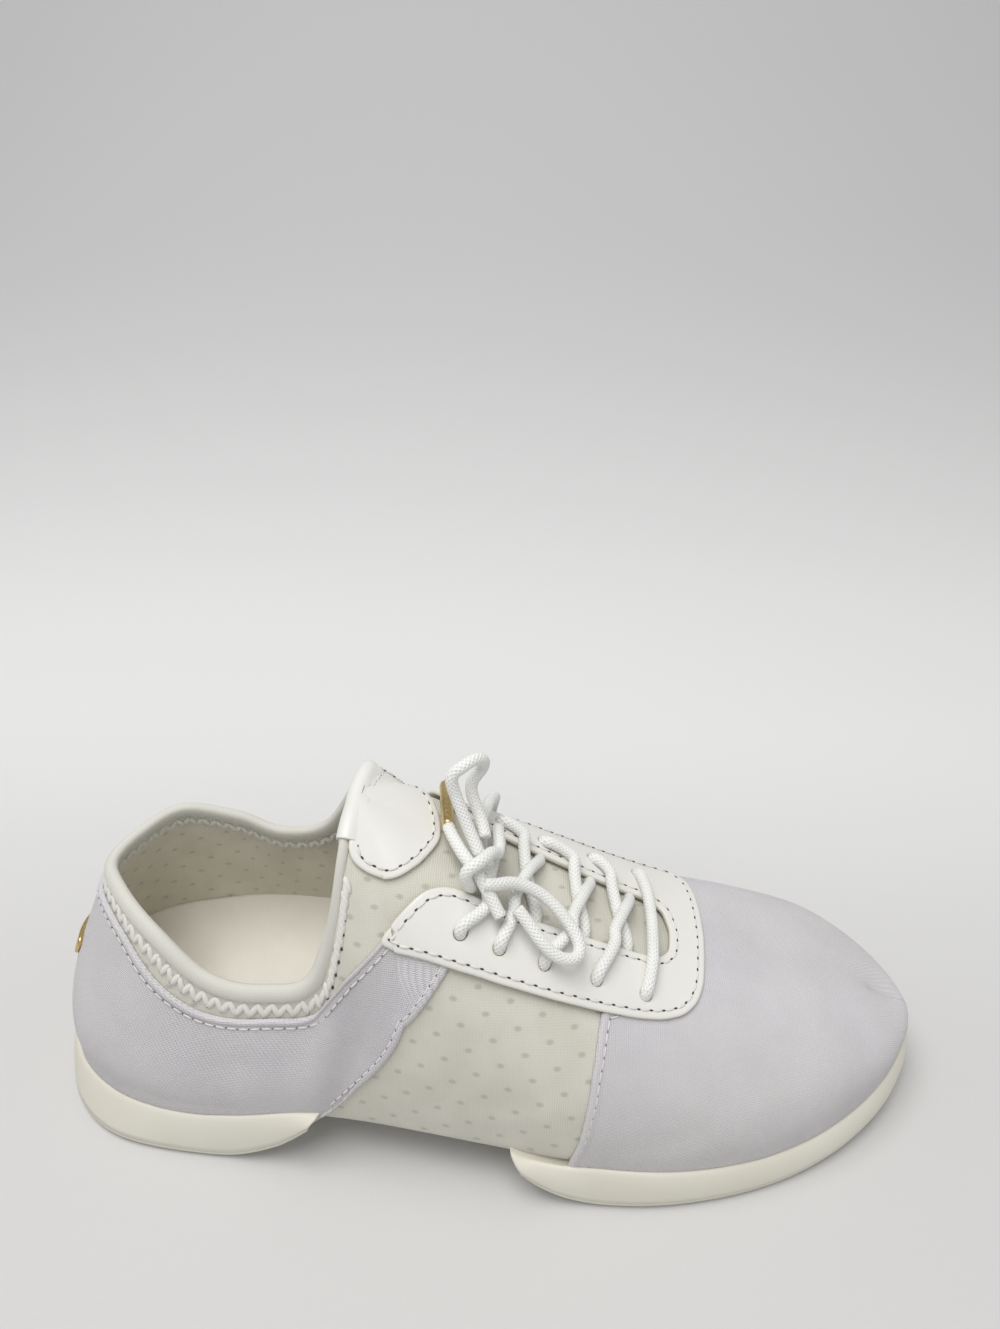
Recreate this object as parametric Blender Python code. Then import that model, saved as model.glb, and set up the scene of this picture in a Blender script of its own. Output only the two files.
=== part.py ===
"""Split-sole dance sneaker, right shoe: neoprene bootie, canvas panels, leather eyestay, lace and two sole units.

All tables are in millimetres: x runs from the back of the heel to the toe, y from the outer side (negative)
to the inner side (positive), z up from the floor. The finished shoe is set down with the middle of its
outline over the origin.
"""
import math

import bmesh
import bpy
from mathutils import Matrix, Vector

MM = 0.001

# Driving sizes, in millimetres
WALL = 2.2                # neoprene of the bootie
GAP = 0.3                 # space between pieces that touch
CANVAS = 0.9              # canvas panels
LEATHER = 1.2             # eyestay and tongue patch
LASTING_MARGIN = 10.0     # turned-in edge under the insole, where the sole units close the upper
ROLL_RISE = 1.1           # how far the rolled collar edge stands out
ROLL_INSIDE = 0.4         # share of it that stands in
SHELL_LIMIT = 1.05        # most that a sharp edge may stretch an offset
PRISM_BASE = 26.0         # height at which a pattern cut from above starts
PRISM_TOP = 130.0
LACE = 3.3                # lace diameter

# Stations round the foot, from the back of the heel (0) to the toe tip (14). The first seven tops lie on the
# collar, the rest on the ridge line that runs down the tongue and over the toe.
TONGUE_TOP = 7
TOE_TIP = 14

# Outline of the upper at its widest, low on the side: x, y outer side, x, y inner side
OUTLINE = [
    (5.0, 1.0, 5.0, 1.0),
    (12.0, -18.5, 11.5, 19.0),
    (26.0, -30.5, 25.0, 29.5),
    (45.0, -37.0, 45.0, 34.0),
    (68.0, -39.5, 68.0, 34.5),
    (90.0, -39.5, 90.0, 31.5),
    (108.0, -40.5, 108.0, 28.5),
    (122.0, -42.0, 122.0, 28.0),
    (143.0, -44.5, 143.0, 30.0),
    (168.0, -47.0, 168.0, 36.0),
    (196.0, -46.0, 196.0, 43.0),
    (224.0, -39.0, 224.0, 45.0),
    (248.0, -27.0, 248.0, 39.5),
    (266.0, -11.5, 266.0, 25.0),
    (274.5, 6.0, 274.5, 6.0),
]

# Underside height and radius of the rounded edge below the widest line, one pair per station
BOTTOM = [
    (13.5, 7.0), (13.5, 7.0), (13.5, 7.0), (13.5, 7.0), (13.5, 7.0), (13.0, 7.0), (12.5, 7.0), (12.0, 7.0),
    (11.0, 7.5), (9.5, 8.0), (9.0, 8.0), (9.3, 8.0), (10.5, 8.0), (12.0, 7.0), (13.0, 6.5),
]

# Collar line: x, y, z outer side, then x, y, z inner side; the last row is the middle of the tongue's top edge
COLLAR = [
    (24.0, 3.5, 74.5, 24.0, 3.5, 74.5),
    (32.0, -9.0, 74.5, 29.5, 15.5, 77.0),
    (46.0, -21.0, 71.0, 41.0, 24.5, 79.5),
    (62.5, -28.7, 61.5, 58.0, 27.0, 75.0),
    (79.5, -31.0, 60.2, 73.0, 25.5, 70.5),
    (95.0, -28.5, 65.8, 89.0, 25.0, 75.5),
    (102.0, -14.5, 98.0, 103.5, 21.0, 102.0),
    (103.0, 3.5, 104.5, 103.0, 3.5, 104.5),
]

# Ridge line from the tongue's top edge down to the toe: x, y, z
RIDGE = [
    (103.0, 3.5, 104.5),
    (127.0, 3.5, 92.0),
    (158.0, 3.5, 74.0),
    (190.0, 3.5, 56.0),
    (216.0, 4.0, 47.5),
    (238.0, 4.5, 41.5),
    (254.0, 5.5, 35.0),
    (261.5, 6.0, 30.0),
]

# Pull of each side curve, one row per station: outwards and upwards at its foot, then forwards, outwards and
# downwards at its top, outer side; the same five for the inner side
PULL = [
    (0.5, 16.0, -5.0, 0.0, 16.0, 0.5, 16.0, -5.0, 0.0, 16.0),
    (1.0, 16.0, -4.0, 3.0, 17.0, 1.0, 16.0, -4.0, 3.0, 17.0),
    (1.5, 16.0, -2.0, 4.0, 17.0, 1.5, 16.0, -2.0, 4.0, 17.0),
    (2.0, 14.0, 0.0, 3.0, 15.0, 2.0, 16.0, 0.0, 3.0, 16.0),
    (1.5, 13.0, 0.0, 2.5, 13.0, 1.0, 15.0, 0.0, 2.5, 15.0),
    (1.0, 16.0, 0.0, 3.0, 15.0, 0.5, 17.0, 0.0, 3.0, 16.0),
    (1.0, 28.0, 3.0, 12.0, 17.0, 1.0, 34.0, 3.0, 12.0, 17.0),
    (1.0, 38.0, 16.0, 24.0, 5.0, 1.0, 47.0, 16.0, 26.0, 5.0),
    (1.0, 36.0, 5.0, 28.0, 1.0, 2.0, 46.0, 5.0, 30.0, 1.0),
    (0.0, 28.0, 0.0, 29.0, 0.0, 3.0, 41.0, 0.0, 31.0, 0.0),
    (0.0, 19.0, 0.0, 28.0, 0.0, 2.0, 31.0, 0.0, 30.0, 0.0),
    (0.0, 14.0, 0.0, 25.0, 0.0, 1.0, 25.0, 0.0, 28.0, 0.0),
    (0.5, 12.0, 4.0, 18.0, 1.5, 1.0, 20.0, 4.0, 23.0, 1.5),
    (1.0, 9.0, 7.0, 9.0, 4.0, 1.0, 14.0, 7.0, 10.0, 4.0),
    (1.0, 8.0, 9.0, 0.0, 6.0, 1.0, 8.0, 9.0, 0.0, 6.0),
]


def hermite(p0, p1, p2, p3, f):
    """One Catmull-Rom step from p1 to p2."""
    return tuple(
        0.5 * (2 * b + (c - a) * f + (2 * a - 5 * b + 4 * c - d) * f * f + (3 * b - a - 3 * c + d) * f ** 3)
        for a, b, c, d in zip(p0, p1, p2, p3))


def on_loop(rows, q):
    """A value on a closed table, at station q."""
    n = len(rows)
    i = math.floor(q)
    return hermite(rows[(i - 1) % n], rows[i % n], rows[(i + 1) % n], rows[(i + 2) % n], q - i)


def on_line(rows, q):
    """A value on an open table, at station q, carried straight on past its ends."""
    last = len(rows) - 1
    i = min(max(math.floor(q), 0), last - 1)
    ahead = [tuple(2 * a - b for a, b in zip(rows[0], rows[1]))] + list(rows)
    ahead.append(tuple(2 * a - b for a, b in zip(rows[last], rows[last - 1])))
    return hermite(ahead[i], ahead[i + 1], ahead[i + 2], ahead[i + 3], q - i)


def both_sides(rows):
    """Outer side from heel to toe, then inner side back to the heel, as one closed loop of rows."""
    half = len(rows[0]) // 2
    outer = [row[:half] for row in rows]
    inner = [row[half:] for row in rows]
    return outer + inner[-2:0:-1]


OUTLINE_LOOP = both_sides(OUTLINE)
COLLAR_LOOP = both_sides(COLLAR)
PULL_LOOP = both_sides(PULL)


def station(q, side):
    """Place on a closed loop of a station on the outer (-1) or inner (1) side."""
    return q if side < 0 else -q


def outline_at(q, side):
    x, y = on_loop(OUTLINE_LOOP, station(q, side))
    ax, ay = on_loop(OUTLINE_LOOP, station(q, side) - 0.05)
    bx, by = on_loop(OUTLINE_LOOP, station(q, side) + 0.05)
    out = Vector((by - ay, ax - bx, 0.0)).normalized()
    return Vector((x, y, 0.0)), out


def top_at(q, side):
    if q <= TONGUE_TOP:
        return Vector(on_loop(COLLAR_LOOP, station(q, side)))
    return Vector(on_line(RIDGE, q - TONGUE_TOP))


CORNER_STEPS = 3
SIDE_STEPS = 8
ROLL_STEPS = (5.4, 4.4, 2.6, 1.0, 0.0)      # distance from the collar edge
ROLL_BULGE = (0.0, 0.75, 1.0, 0.7, 0.0)     # share of ROLL_RISE at each


def side_curve(q, side):
    """Points from the edge of the underside, round the corner and up the side to the top."""
    base, out = outline_at(q, side)
    bottom, radius = on_line(BOTTOM, q)
    foot_out, foot_up, fwd, outward, down = on_loop(PULL_LOOP, station(q, side))
    corner = []
    for k in range(CORNER_STEPS):
        a = 0.5 * math.pi * k / CORNER_STEPS
        shift = radius * (math.sin(a) - 1.0)
        corner.append(base + out * shift + Vector((0, 0, bottom + radius * (1.0 - math.cos(a)))))
    start = base + Vector((0, 0, bottom + radius))
    top = top_at(q, side)
    p1 = start + out * foot_out + Vector((0, 0, foot_up))
    p2 = top + Vector((fwd, side * outward, -down))
    dense = []
    for k in range(41):
        t = k / 40.0
        dense.append(start * (1 - t) ** 3 + p1 * 3 * t * (1 - t) ** 2 + p2 * 3 * t * t * (1 - t) + top * t ** 3)
    lengths = [0.0]
    for a, b in zip(dense, dense[1:]):
        lengths.append(lengths[-1] + (b - a).length)
    total = lengths[-1]
    stops = [(total - ROLL_STEPS[0]) * k / SIDE_STEPS for k in range(SIDE_STEPS)]
    stops += [total - d for d in ROLL_STEPS]
    side_points = []
    for s in stops:
        j = 0
        while j < 39 and lengths[j + 1] < s:
            j += 1
        f = (s - lengths[j]) / (lengths[j + 1] - lengths[j])
        side_points.append(dense[j].lerp(dense[j + 1], min(max(f, 0.0), 1.0)))
    return corner + side_points


ROWS_PER_STATION = 2


def section(q):
    """One section round the shoe: outer top, down the outer side, across the underside, up to the inner top."""
    outer = side_curve(q, -1)
    inner = side_curve(q, 1)
    a, b = outer[0], inner[0]
    reach = (b - a).length
    edge = min(LASTING_MARGIN / reach, 0.35) if reach > 0.01 else 0.35
    across = [a.lerp(b, edge), a.lerp(b, 0.5), a.lerp(b, 1.0 - edge)]
    return outer[::-1] + across + inner


SIDE_POINTS = CORNER_STEPS + SIDE_STEPS + len(ROLL_STEPS)
SECTION_POINTS = 2 * SIDE_POINTS + 3
STATIONS = [k / ROWS_PER_STATION for k in range(TOE_TIP * ROWS_PER_STATION + 1)]


def roll_share(q, column):
    """How much of the rolled edge's rise a point of a section takes: none under the tongue patch or on the ridge."""
    from_top = min(column, SECTION_POINTS - 1 - column)
    if from_top >= len(ROLL_STEPS):
        return 0.0
    fade = min(max((6.2 - q) / 0.5, 0.0), 1.0)
    return ROLL_BULGE[len(ROLL_STEPS) - 1 - from_top] * fade


def last_surface():
    """The outer face of the bootie, closed but for the collar, with each vertex's station and column."""
    bm = bmesh.new()
    share = bm.verts.layers.float.new("roll")
    under = bm.faces.layers.int.new("under")
    rows = []
    for q in STATIONS:
        row = []
        for column, point in enumerate(section(q)):
            vert = bm.verts.new(point)
            vert[share] = roll_share(q, column)
            row.append(vert)
        rows.append(row)
    for i, (row, ahead) in enumerate(zip(rows, rows[1:])):
        for j in range(SECTION_POINTS - 1):
            face = bm.faces.new((row[j], row[j + 1], ahead[j + 1], ahead[j]))
            middle = j in (SIDE_POINTS, SIDE_POINTS + 1)
            q = STATIONS[i] + 0.5 / ROWS_PER_STATION
            face[under] = int(middle and (1.0 < q < 4.5 or 9.0 < q < 13.0))
    bmesh.ops.remove_doubles(bm, verts=bm.verts, dist=0.001)
    bmesh.ops.triangulate(bm, faces=bm.faces[:], quad_method="FIXED")
    bm.normal_update()
    return bm


def moved(bm, vert, offset):
    return vert.co + vert.normal * offset * min(vert.calc_shell_factor(), SHELL_LIMIT)


def to_object(name, bm, material, scale=MM):
    """Hands a bmesh in millimetres over to a new object in metres."""
    bmesh.ops.scale(bm, vec=(scale, scale, scale), verts=bm.verts)
    mesh = bpy.data.meshes.new(name)
    bm.to_mesh(mesh)
    bm.free()
    obj = bpy.data.objects.new(name, mesh)
    bpy.context.collection.objects.link(obj)
    if material:
        mesh.materials.append(material)
    return obj


def form(offset):
    """The closed form of the last, offset from the bootie's outer face."""
    bm = last_surface()
    places = [moved(bm, v, offset) for v in bm.verts]
    for vert, place in zip(bm.verts, places):
        vert.co = place
    rim = [e for e in bm.edges if e.is_boundary]
    ends = {v for e in rim for v in e.verts}
    hub = bm.verts.new(sum((v.co for v in ends), Vector()) / len(ends))
    for edge in rim:
        loop = edge.link_loops[0]
        bm.faces.new((loop.link_loop_next.vert, loop.vert, hub))
    bm.normal_update()
    return bm


def upper(material):
    """The bootie: outer face, inner face one wall inside it, and the edges of its openings."""
    bm = last_surface()
    share = bm.verts.layers.float["roll"]
    under = bm.faces.layers.int["under"]
    bmesh.ops.delete(bm, geom=[f for f in bm.faces if f[under]], context="FACES")
    bm.normal_update()
    outer = list(bm.verts)
    faces = list(bm.faces)
    edges = [e for e in bm.edges if e.is_boundary]
    rims = [(e.link_loops[0].vert, e.link_loops[0].link_loop_next.vert) for e in edges]
    inner = {}
    places = {}
    for vert in outer:
        places[vert] = moved(bm, vert, ROLL_RISE * vert[share])
        inner[vert] = moved(bm, vert, -WALL - ROLL_INSIDE * ROLL_RISE * vert[share])
    twins = {vert: bm.verts.new(place) for vert, place in inner.items()}
    for vert, place in places.items():
        vert.co = place
    for face in faces:
        bm.faces.new([twins[v] for v in reversed(face.verts)])
    for a, b in rims:
        bm.faces.new((b, a, twins[a], twins[b]))
    bm.normal_update()
    return to_object("upper", bm, material)


def skin(q, across, height):
    """A point over the last: station, distance across the ridge (inner side positive), height off the bootie."""
    def at(station_q, distance):
        side = -1 if distance < 0 else 1
        points = side_curve(station_q, side)[::-1]
        left = abs(distance)
        for a, b in zip(points, points[1:]):
            step = (b - a).length
            if left <= step:
                return a.lerp(b, left / step)
            left -= step
        return points[-1]
    point = at(q, across)
    along = at(q + 0.06, across) - at(q - 0.06, across)
    over = at(q, across + 1.0) - at(q, across - 1.0)
    return point + along.cross(over).normalized() * height


def boolean(target, other, operation):
    """Applies one exact Boolean to a target object."""
    modifier = target.modifiers.new(operation, "BOOLEAN")
    modifier.solver = "EXACT"
    modifier.operation = operation
    modifier.object = other
    depsgraph = bpy.context.evaluated_depsgraph_get()
    mesh = bpy.data.meshes.new_from_object(target.evaluated_get(depsgraph))
    target.modifiers.clear()
    old = target.data
    target.data = mesh
    bpy.data.meshes.remove(old)
    bpy.data.objects.remove(other, do_unlink=True)
    return target


def skin_piece(low, high, block):
    """What a block holds of the skin between two forms of the last."""
    piece = boolean(to_object("outer form", form(high), None), block, "INTERSECT")
    return boolean(piece, to_object("inner form", form(low), None), "DIFFERENCE")


def prism(outline, lift):
    """A solid over a flat outline: lift turns an outline point and an end (0 or 1) into a place."""
    bm = bmesh.new()
    low = [bm.verts.new(lift(u, v, 0)) for u, v in outline]
    high = [bm.verts.new(lift(u, v, 1)) for u, v in outline]
    n = len(outline)
    bm.faces.new(low)
    bm.faces.new(high[::-1])
    for k in range(n):
        bm.faces.new((low[(k + 1) % n], low[k], high[k], high[(k + 1) % n]))
    bmesh.ops.recalc_face_normals(bm, faces=bm.faces)
    return to_object("prism", bm, None)


def over_plan(u, v, end):
    """An outline seen from above, as a place above the shoe or inside it."""
    return Vector((u, v, PRISM_TOP if end else PRISM_BASE))


def behind_heel(u, v, end):
    """An outline seen from behind, as a place behind or inside the heel."""
    return Vector((28.0 if end else -20.0, u, v))


def named(obj, name, material):
    obj.name = name
    obj.data.name = name
    obj.data.materials.clear()
    obj.data.materials.append(material)
    return obj


# Canvas seam on each side, seen from above: x, distance out from the middle line
VAMP_SEAM = [(164.0, 80.0), (166.5, 55.0), (168.5, 47.0), (171.5, 43.5), (175.0, 37.0), (177.0, 28.0), (180.0, 22.0)]
VAMP_FRONT_OF_THROAT = [(200.0, -14.0), (202.0, 4.0), (200.0, 22.0)]
MEDIAL_SEAM_SCALE = 0.86  # the inner side of the foot lies nearer the middle line


# Height of the lower edge of the canvas over the toe, inside the sole: x, z
VAMP_FOOT = [(140.0, 10.8), (200.0, 10.8), (225.0, 11.4), (250.0, 12.8), (270.0, 14.4), (330.0, 15.0)]


def vamp_panel(material):
    """Canvas over the toe, from the seam on each side to the front of the throat."""
    outline = [(x, -y) for x, y in VAMP_SEAM] + VAMP_FRONT_OF_THROAT
    outline += [(x, y * MEDIAL_SEAM_SCALE) for x, y in reversed(VAMP_SEAM)]
    outline += [(320.0, 80.0), (320.0, -80.0)]
    block = prism(outline, lambda u, v, end: Vector((u, v, PRISM_TOP if end else 0.0)))
    foot = [(x, z) for x, z in VAMP_FOOT] + [(330.0, -9.0), (140.0, -9.0)]
    block = boolean(block, prism(foot, lambda u, v, end: Vector((u, 90.0 if end else -90.0, v))), "DIFFERENCE")
    return named(skin_piece(GAP, GAP + CANVAS, block), "vamp_panel", material)


# Front seam of the heel panel: share of the way up from the sole, station
HEEL_SEAM = [(0.0, 4.9), (0.3, 5.25), (0.36, 5.65), (0.48, 6.35), (0.67, 7.2), (0.84, 7.6), (1.0, 7.95)]
# Top edge of the heel panel: station, distance below the collar or the ridge
HEEL_TOP = [(0.0, 8.5), (1.0, 8.0), (2.0, 12.0), (3.0, 11.5), (4.0, 9.5), (4.7, 9.5), (5.2, 15.0), (5.6, 25.0),
            (6.35, 35.0), (7.1, 36.5), (8.0, 36.0)]
HEEL_RUNS = 9
HEEL_RISES = 6


def read_table(rows, x):
    """Straight-line reading of a two-column table."""
    for (x0, y0), (x1, y1) in zip(rows, rows[1:]):
        if x <= x1:
            return y0 + (y1 - y0) * max(x - x0, 0.0) / (x1 - x0)
    return rows[-1][1]


def side_length(q, side):
    points = side_curve(q, side)
    return sum((b - a).length for a, b in zip(points, points[1:]))


def heel_block():
    """A thick band that follows the last round the heel, between the canvas's top edge and its front seams."""
    bm = bmesh.new()
    rows = []
    for i in range(-HEEL_RUNS, HEEL_RUNS + 1):
        row = []
        side = -1 if i <= 0 else 1
        for j in range(HEEL_RISES + 1):
            rise = j / HEEL_RISES
            q = abs(i) / HEEL_RUNS * read_table(HEEL_SEAM, rise)
            span = side_length(q, side) - read_table(HEEL_TOP, q)
            down = read_table(HEEL_TOP, q) + span * (1.0 - rise)
            row.append((q, side * max(down, 0.01)))
        rows.append(row)
    low = [[bm.verts.new(skin(max(q, 0.0001), d, -1.6)) for q, d in row] for row in rows]
    high = [[bm.verts.new(skin(max(q, 0.0001), d, 4.0)) for q, d in row] for row in rows]
    for sheet, flip in ((low, True), (high, False)):
        for row, ahead in zip(sheet, sheet[1:]):
            for j in range(HEEL_RISES):
                quad = (row[j], ahead[j], ahead[j + 1], row[j + 1])
                bm.faces.new(quad[::-1] if flip else quad)
    rim_low = [r[0] for r in low] + low[-1][1:] + [r[-1] for r in low[::-1]][1:] + low[0][-2:0:-1]
    rim_high = [r[0] for r in high] + high[-1][1:] + [r[-1] for r in high[::-1]][1:] + high[0][-2:0:-1]
    n = len(rim_low)
    for k in range(n):
        bm.faces.new((rim_low[k], rim_low[(k + 1) % n], rim_high[(k + 1) % n], rim_high[k]))
    bmesh.ops.recalc_face_normals(bm, faces=bm.faces)
    return to_object("heel block", bm, None)


def heel_panel(material):
    return named(skin_piece(GAP, GAP + CANVAS, heel_block()), "heel_panel", material)


# Eyestay seen from above: x, y
STAY_OUTER = [
    (113.5, -29.5), (133.0, -30.7), (147.0, -30.2), (163.0, -29.6), (177.0, -28.4), (190.0, -26.2), (199.0, -23.2),
    (203.5, -18.5), (205.5, -10.0), (207.3, 4.5), (207.0, 19.0), (205.0, 29.0), (199.0, 34.5), (187.0, 34.2),
    (172.0, 31.5), (157.0, 29.0), (140.0, 28.3), (127.0, 28.6), (117.0, 28.0)]
STAY_THROAT = [
    (119.5, 24.0), (126.0, 18.0), (133.0, 13.2), (140.0, 12.0), (152.0, 11.9), (165.0, 12.4), (178.0, 13.0),
    (189.0, 13.8), (194.0, 11.5), (195.8, 4.0), (195.0, -4.0), (191.5, -7.4), (178.0, -9.3), (165.0, -11.0),
    (152.0, -13.1), (140.0, -14.7), (133.0, -15.2), (124.0, -20.2), (117.0, -26.0)]
# Lace holes: station, distance from the ridge on the outer side, on the inner side
HOLES = [(8.05, 29.5, 15.5), (8.46, 28.5, 15.0), (8.9, 27.0, 15.0), (9.39, 25.0, 18.5), (9.85, 23.5, 21.0)]
HOLE_RADIUS = 2.0
STAY_LIFT = CANVAS + 2 * GAP      # underside of the leather over the canvas
STAY_TOP = STAY_LIFT + LEATHER


def tube(path, radius, sides=8, name="tube"):
    """A closed round tube along a list of points."""
    bm = bmesh.new()
    rings = []
    lead = (path[1] - path[0]).normalized()
    across = lead.orthogonal().normalized()
    for k, point in enumerate(path):
        ahead = path[min(k + 1, len(path) - 1)] - path[max(k - 1, 0)]
        ahead.normalize()
        across = (across - ahead * across.dot(ahead)).normalized()
        other = ahead.cross(across)
        ring = []
        for j in range(sides):
            a = 2 * math.pi * j / sides
            ring.append(bm.verts.new(point + across * radius * math.cos(a) + other * radius * math.sin(a)))
        rings.append(ring)
    for ring, ahead in zip(rings, rings[1:]):
        for j in range(sides):
            bm.faces.new((ring[j], ring[(j + 1) % sides], ahead[(j + 1) % sides], ahead[j]))
    bm.faces.new(rings[0][::-1])
    bm.faces.new(rings[-1])
    return to_object(name, bm, None)


def eyestay(material):
    """White leather U round the throat, over the canvas's edges, with ten punched holes."""
    leather = skin_piece(STAY_LIFT, STAY_TOP, prism(STAY_OUTER + STAY_THROAT, over_plan))
    for q, outer, inner in HOLES:
        for across in (-outer, inner):
            hole = tube([skin(q, across, -4.0), skin(q, across, 8.0)], HOLE_RADIUS)
            leather = boolean(leather, hole, "DIFFERENCE")
    return named(leather, "eyestay", material)


# Tongue patch seen from above: x, y
PATCH = [(105.0, -12.5), (109.5, -16.5), (114.5, -17.3), (118.5, -15.0), (123.0, -10.0), (126.6, -3.5),
         (127.6, 2.5), (126.0, 9.0), (122.8, 15.5), (118.0, 20.5), (112.0, 22.0), (106.5, 19.0), (105.2, 3.0)]


def tongue_patch(material):
    return named(skin_piece(GAP, GAP + LEATHER, prism(PATCH, over_plan)), "tongue_patch", material)


# Plain metal bar at the back of the heel, seen from behind: middle y, z, half width, half height, thickness
BADGE = (3.5, 44.0, 9.0, 3.4, 1.4)


def heel_badge(material):
    y, z, half_width, half_height, thick = BADGE
    base = CANVAS + 2 * GAP
    round_end = 0.6 * half_height
    outline = []
    for cx, cz, start in ((1, 1, 0), (-1, 1, 90), (-1, -1, 180), (1, -1, 270)):
        for step in (0, 45, 90):
            a = math.radians(start + step)
            outline.append((y + cx * (half_width - round_end) + round_end * math.cos(a),
                            z + cz * (half_height - round_end) + round_end * math.sin(a)))
    return named(skin_piece(base, base + thick, prism(outline, behind_heel)), "heel_badge", material)


SOLE_POINTS = 12
ACROSS_POINTS = 6

# Heel unit: height, distance out from the upper's outline, x of the breast, rounding of the breast's ends
HEEL_UNIT = [
    (0.0, 3.6, 69.0, 6.0), (0.9, 4.6, 71.0, 6.0), (2.6, 4.8, 74.5, 5.5),
    (2.9, 4.8, 75.0, 5.5), (7.0, 4.4, 82.0, 4.5), (12.0, 3.3, 88.5, 3.5), (16.4, 2.3, 92.5, 2.5), (17.5, 1.5, 93.5, 2.0)]
# Forefoot unit: share of the height, height above the underside, distance out, x of the rear edge, rounding
FORE_UNIT = [
    (0.0, 0.0, 3.4, 174.0, 7.0), (0.0, 0.9, 4.4, 170.5, 7.0), (0.0, 2.6, 4.8, 165.5, 6.0),
    (0.0, 2.9, 4.8, 165.0, 6.0), (0.55, 0.0, 4.2, 157.0, 5.0), (0.9, 0.0, 2.6, 151.5, 3.5), (1.0, 0.0, 1.6, 150.0, 3.0)]
FORE_TOP = [(140.0, 13.0), (225.0, 13.0), (250.0, 14.3), (280.0, 17.0)]
SPRING_START = 222.0
SPRING_END = 277.0
SPRING = 6.5


def spring_at(x):
    """Toe spring: how far the forefoot's underside lifts off the floor."""
    reach = max(x - SPRING_START, 0.0) / (SPRING_END - SPRING_START)
    return SPRING * reach * reach


def station_at(x, side, offset):
    """Station at which the outline, moved out, reaches a given x."""
    low, high = 0.5, TOE_TIP - 0.5
    for _ in range(30):
        q = 0.5 * (low + high)
        point, out = outline_at(q, side)
        if (point + out * offset).x < x:
            low = q
        else:
            high = q
    return 0.5 * (low + high)


def loft(loops, name):
    """A solid through a stack of loops, flat at both ends."""
    bm = bmesh.new()
    rings = [[bm.verts.new(p) for p in loop] for loop in loops]
    n = len(rings[0])
    for ring, above in zip(rings, rings[1:]):
        for k in range(n):
            bm.faces.new((ring[k], ring[(k + 1) % n], above[(k + 1) % n], above[k]))
    bm.faces.new(rings[0][::-1])
    bm.faces.new(rings[-1])
    bmesh.ops.triangulate(bm, faces=[f for f in bm.faces if len(f.verts) > 4])
    bmesh.ops.recalc_face_normals(bm, faces=bm.faces)
    return to_object(name, bm, None)


def heel_loop(z, offset, breast, rounding):
    loop = []
    for side in (-1, 1):
        end = station_at(breast - rounding, side, offset)
        half = []
        for k in range(SOLE_POINTS):
            point, out = outline_at(end * (1.0 - k / (SOLE_POINTS - 1)), side)
            half.append(point + out * offset)
        loop += half if side < 0 else half[-2::-1]
    a, b = loop[-1], loop[0]
    for k in range(1, ACROSS_POINTS):
        f = k / ACROSS_POINTS
        point = a.lerp(b, f)
        point.x += rounding * (1.0 - abs(2 * f - 1) ** 3)
        loop.append(point)
    return [Vector((p.x, p.y, z)) for p in loop]


def fore_loop(share, rise, offset, rear, rounding):
    loop = []
    for side in (-1, 1):
        start = station_at(rear + rounding, side, offset)
        half = []
        for k in range(SOLE_POINTS):
            q = start + (TOE_TIP - start) * k / (SOLE_POINTS - 1)
            point, out = outline_at(q, side)
            narrow = 1.0 - 0.35 * min(max(q - 11.5, 0.0) / 2.5, 1.0)
            half.append(point + out * offset * narrow)
        loop += half if side < 0 else half[-2::-1]
    a, b = loop[-1], loop[0]
    for k in range(1, ACROSS_POINTS):
        f = k / ACROSS_POINTS
        point = a.lerp(b, f)
        point.x -= rounding * (1.0 - abs(2 * f - 1) ** 3)
        loop.append(point)
    placed = []
    for p in loop:
        low = spring_at(p.x)
        placed.append(Vector((p.x, p.y, low + rise + share * (read_table(FORE_TOP, p.x) - low))))
    return placed


def soles(foam, rubber):
    """Two sole units, each a foam body that cups the upper and a thinner layer that walks on the floor."""
    tray = CANVAS + 2 * GAP
    made = []
    for name, layers, loop in (("heel", HEEL_UNIT, heel_loop), ("forefoot", FORE_UNIT, fore_loop)):
        walked = loft([loop(*row) for row in layers[:3]], name + " low")
        made.append(named(walked, name + "_outsole", rubber))
        body = loft([loop(*row) for row in layers[3:]], name + " body")
        body = boolean(body, to_object("tray", form(tray), None), "DIFFERENCE")
        made.append(named(body, name + "_sole", foam))
    return made


# Insole: thickness in the middle and how far its edge cups up, one pair per station
INSOLE = [(5.5, 8.0), (5.5, 8.0), (5.5, 8.0), (5.5, 8.0), (5.5, 8.0), (5.2, 7.5), (5.0, 7.0), (4.8, 6.0),
          (4.5, 5.0), (4.2, 4.0), (4.0, 3.5), (4.0, 3.0), (4.0, 3.0), (4.0, 3.0), (4.0, 3.0)]
INSOLE_ACROSS = 6


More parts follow.
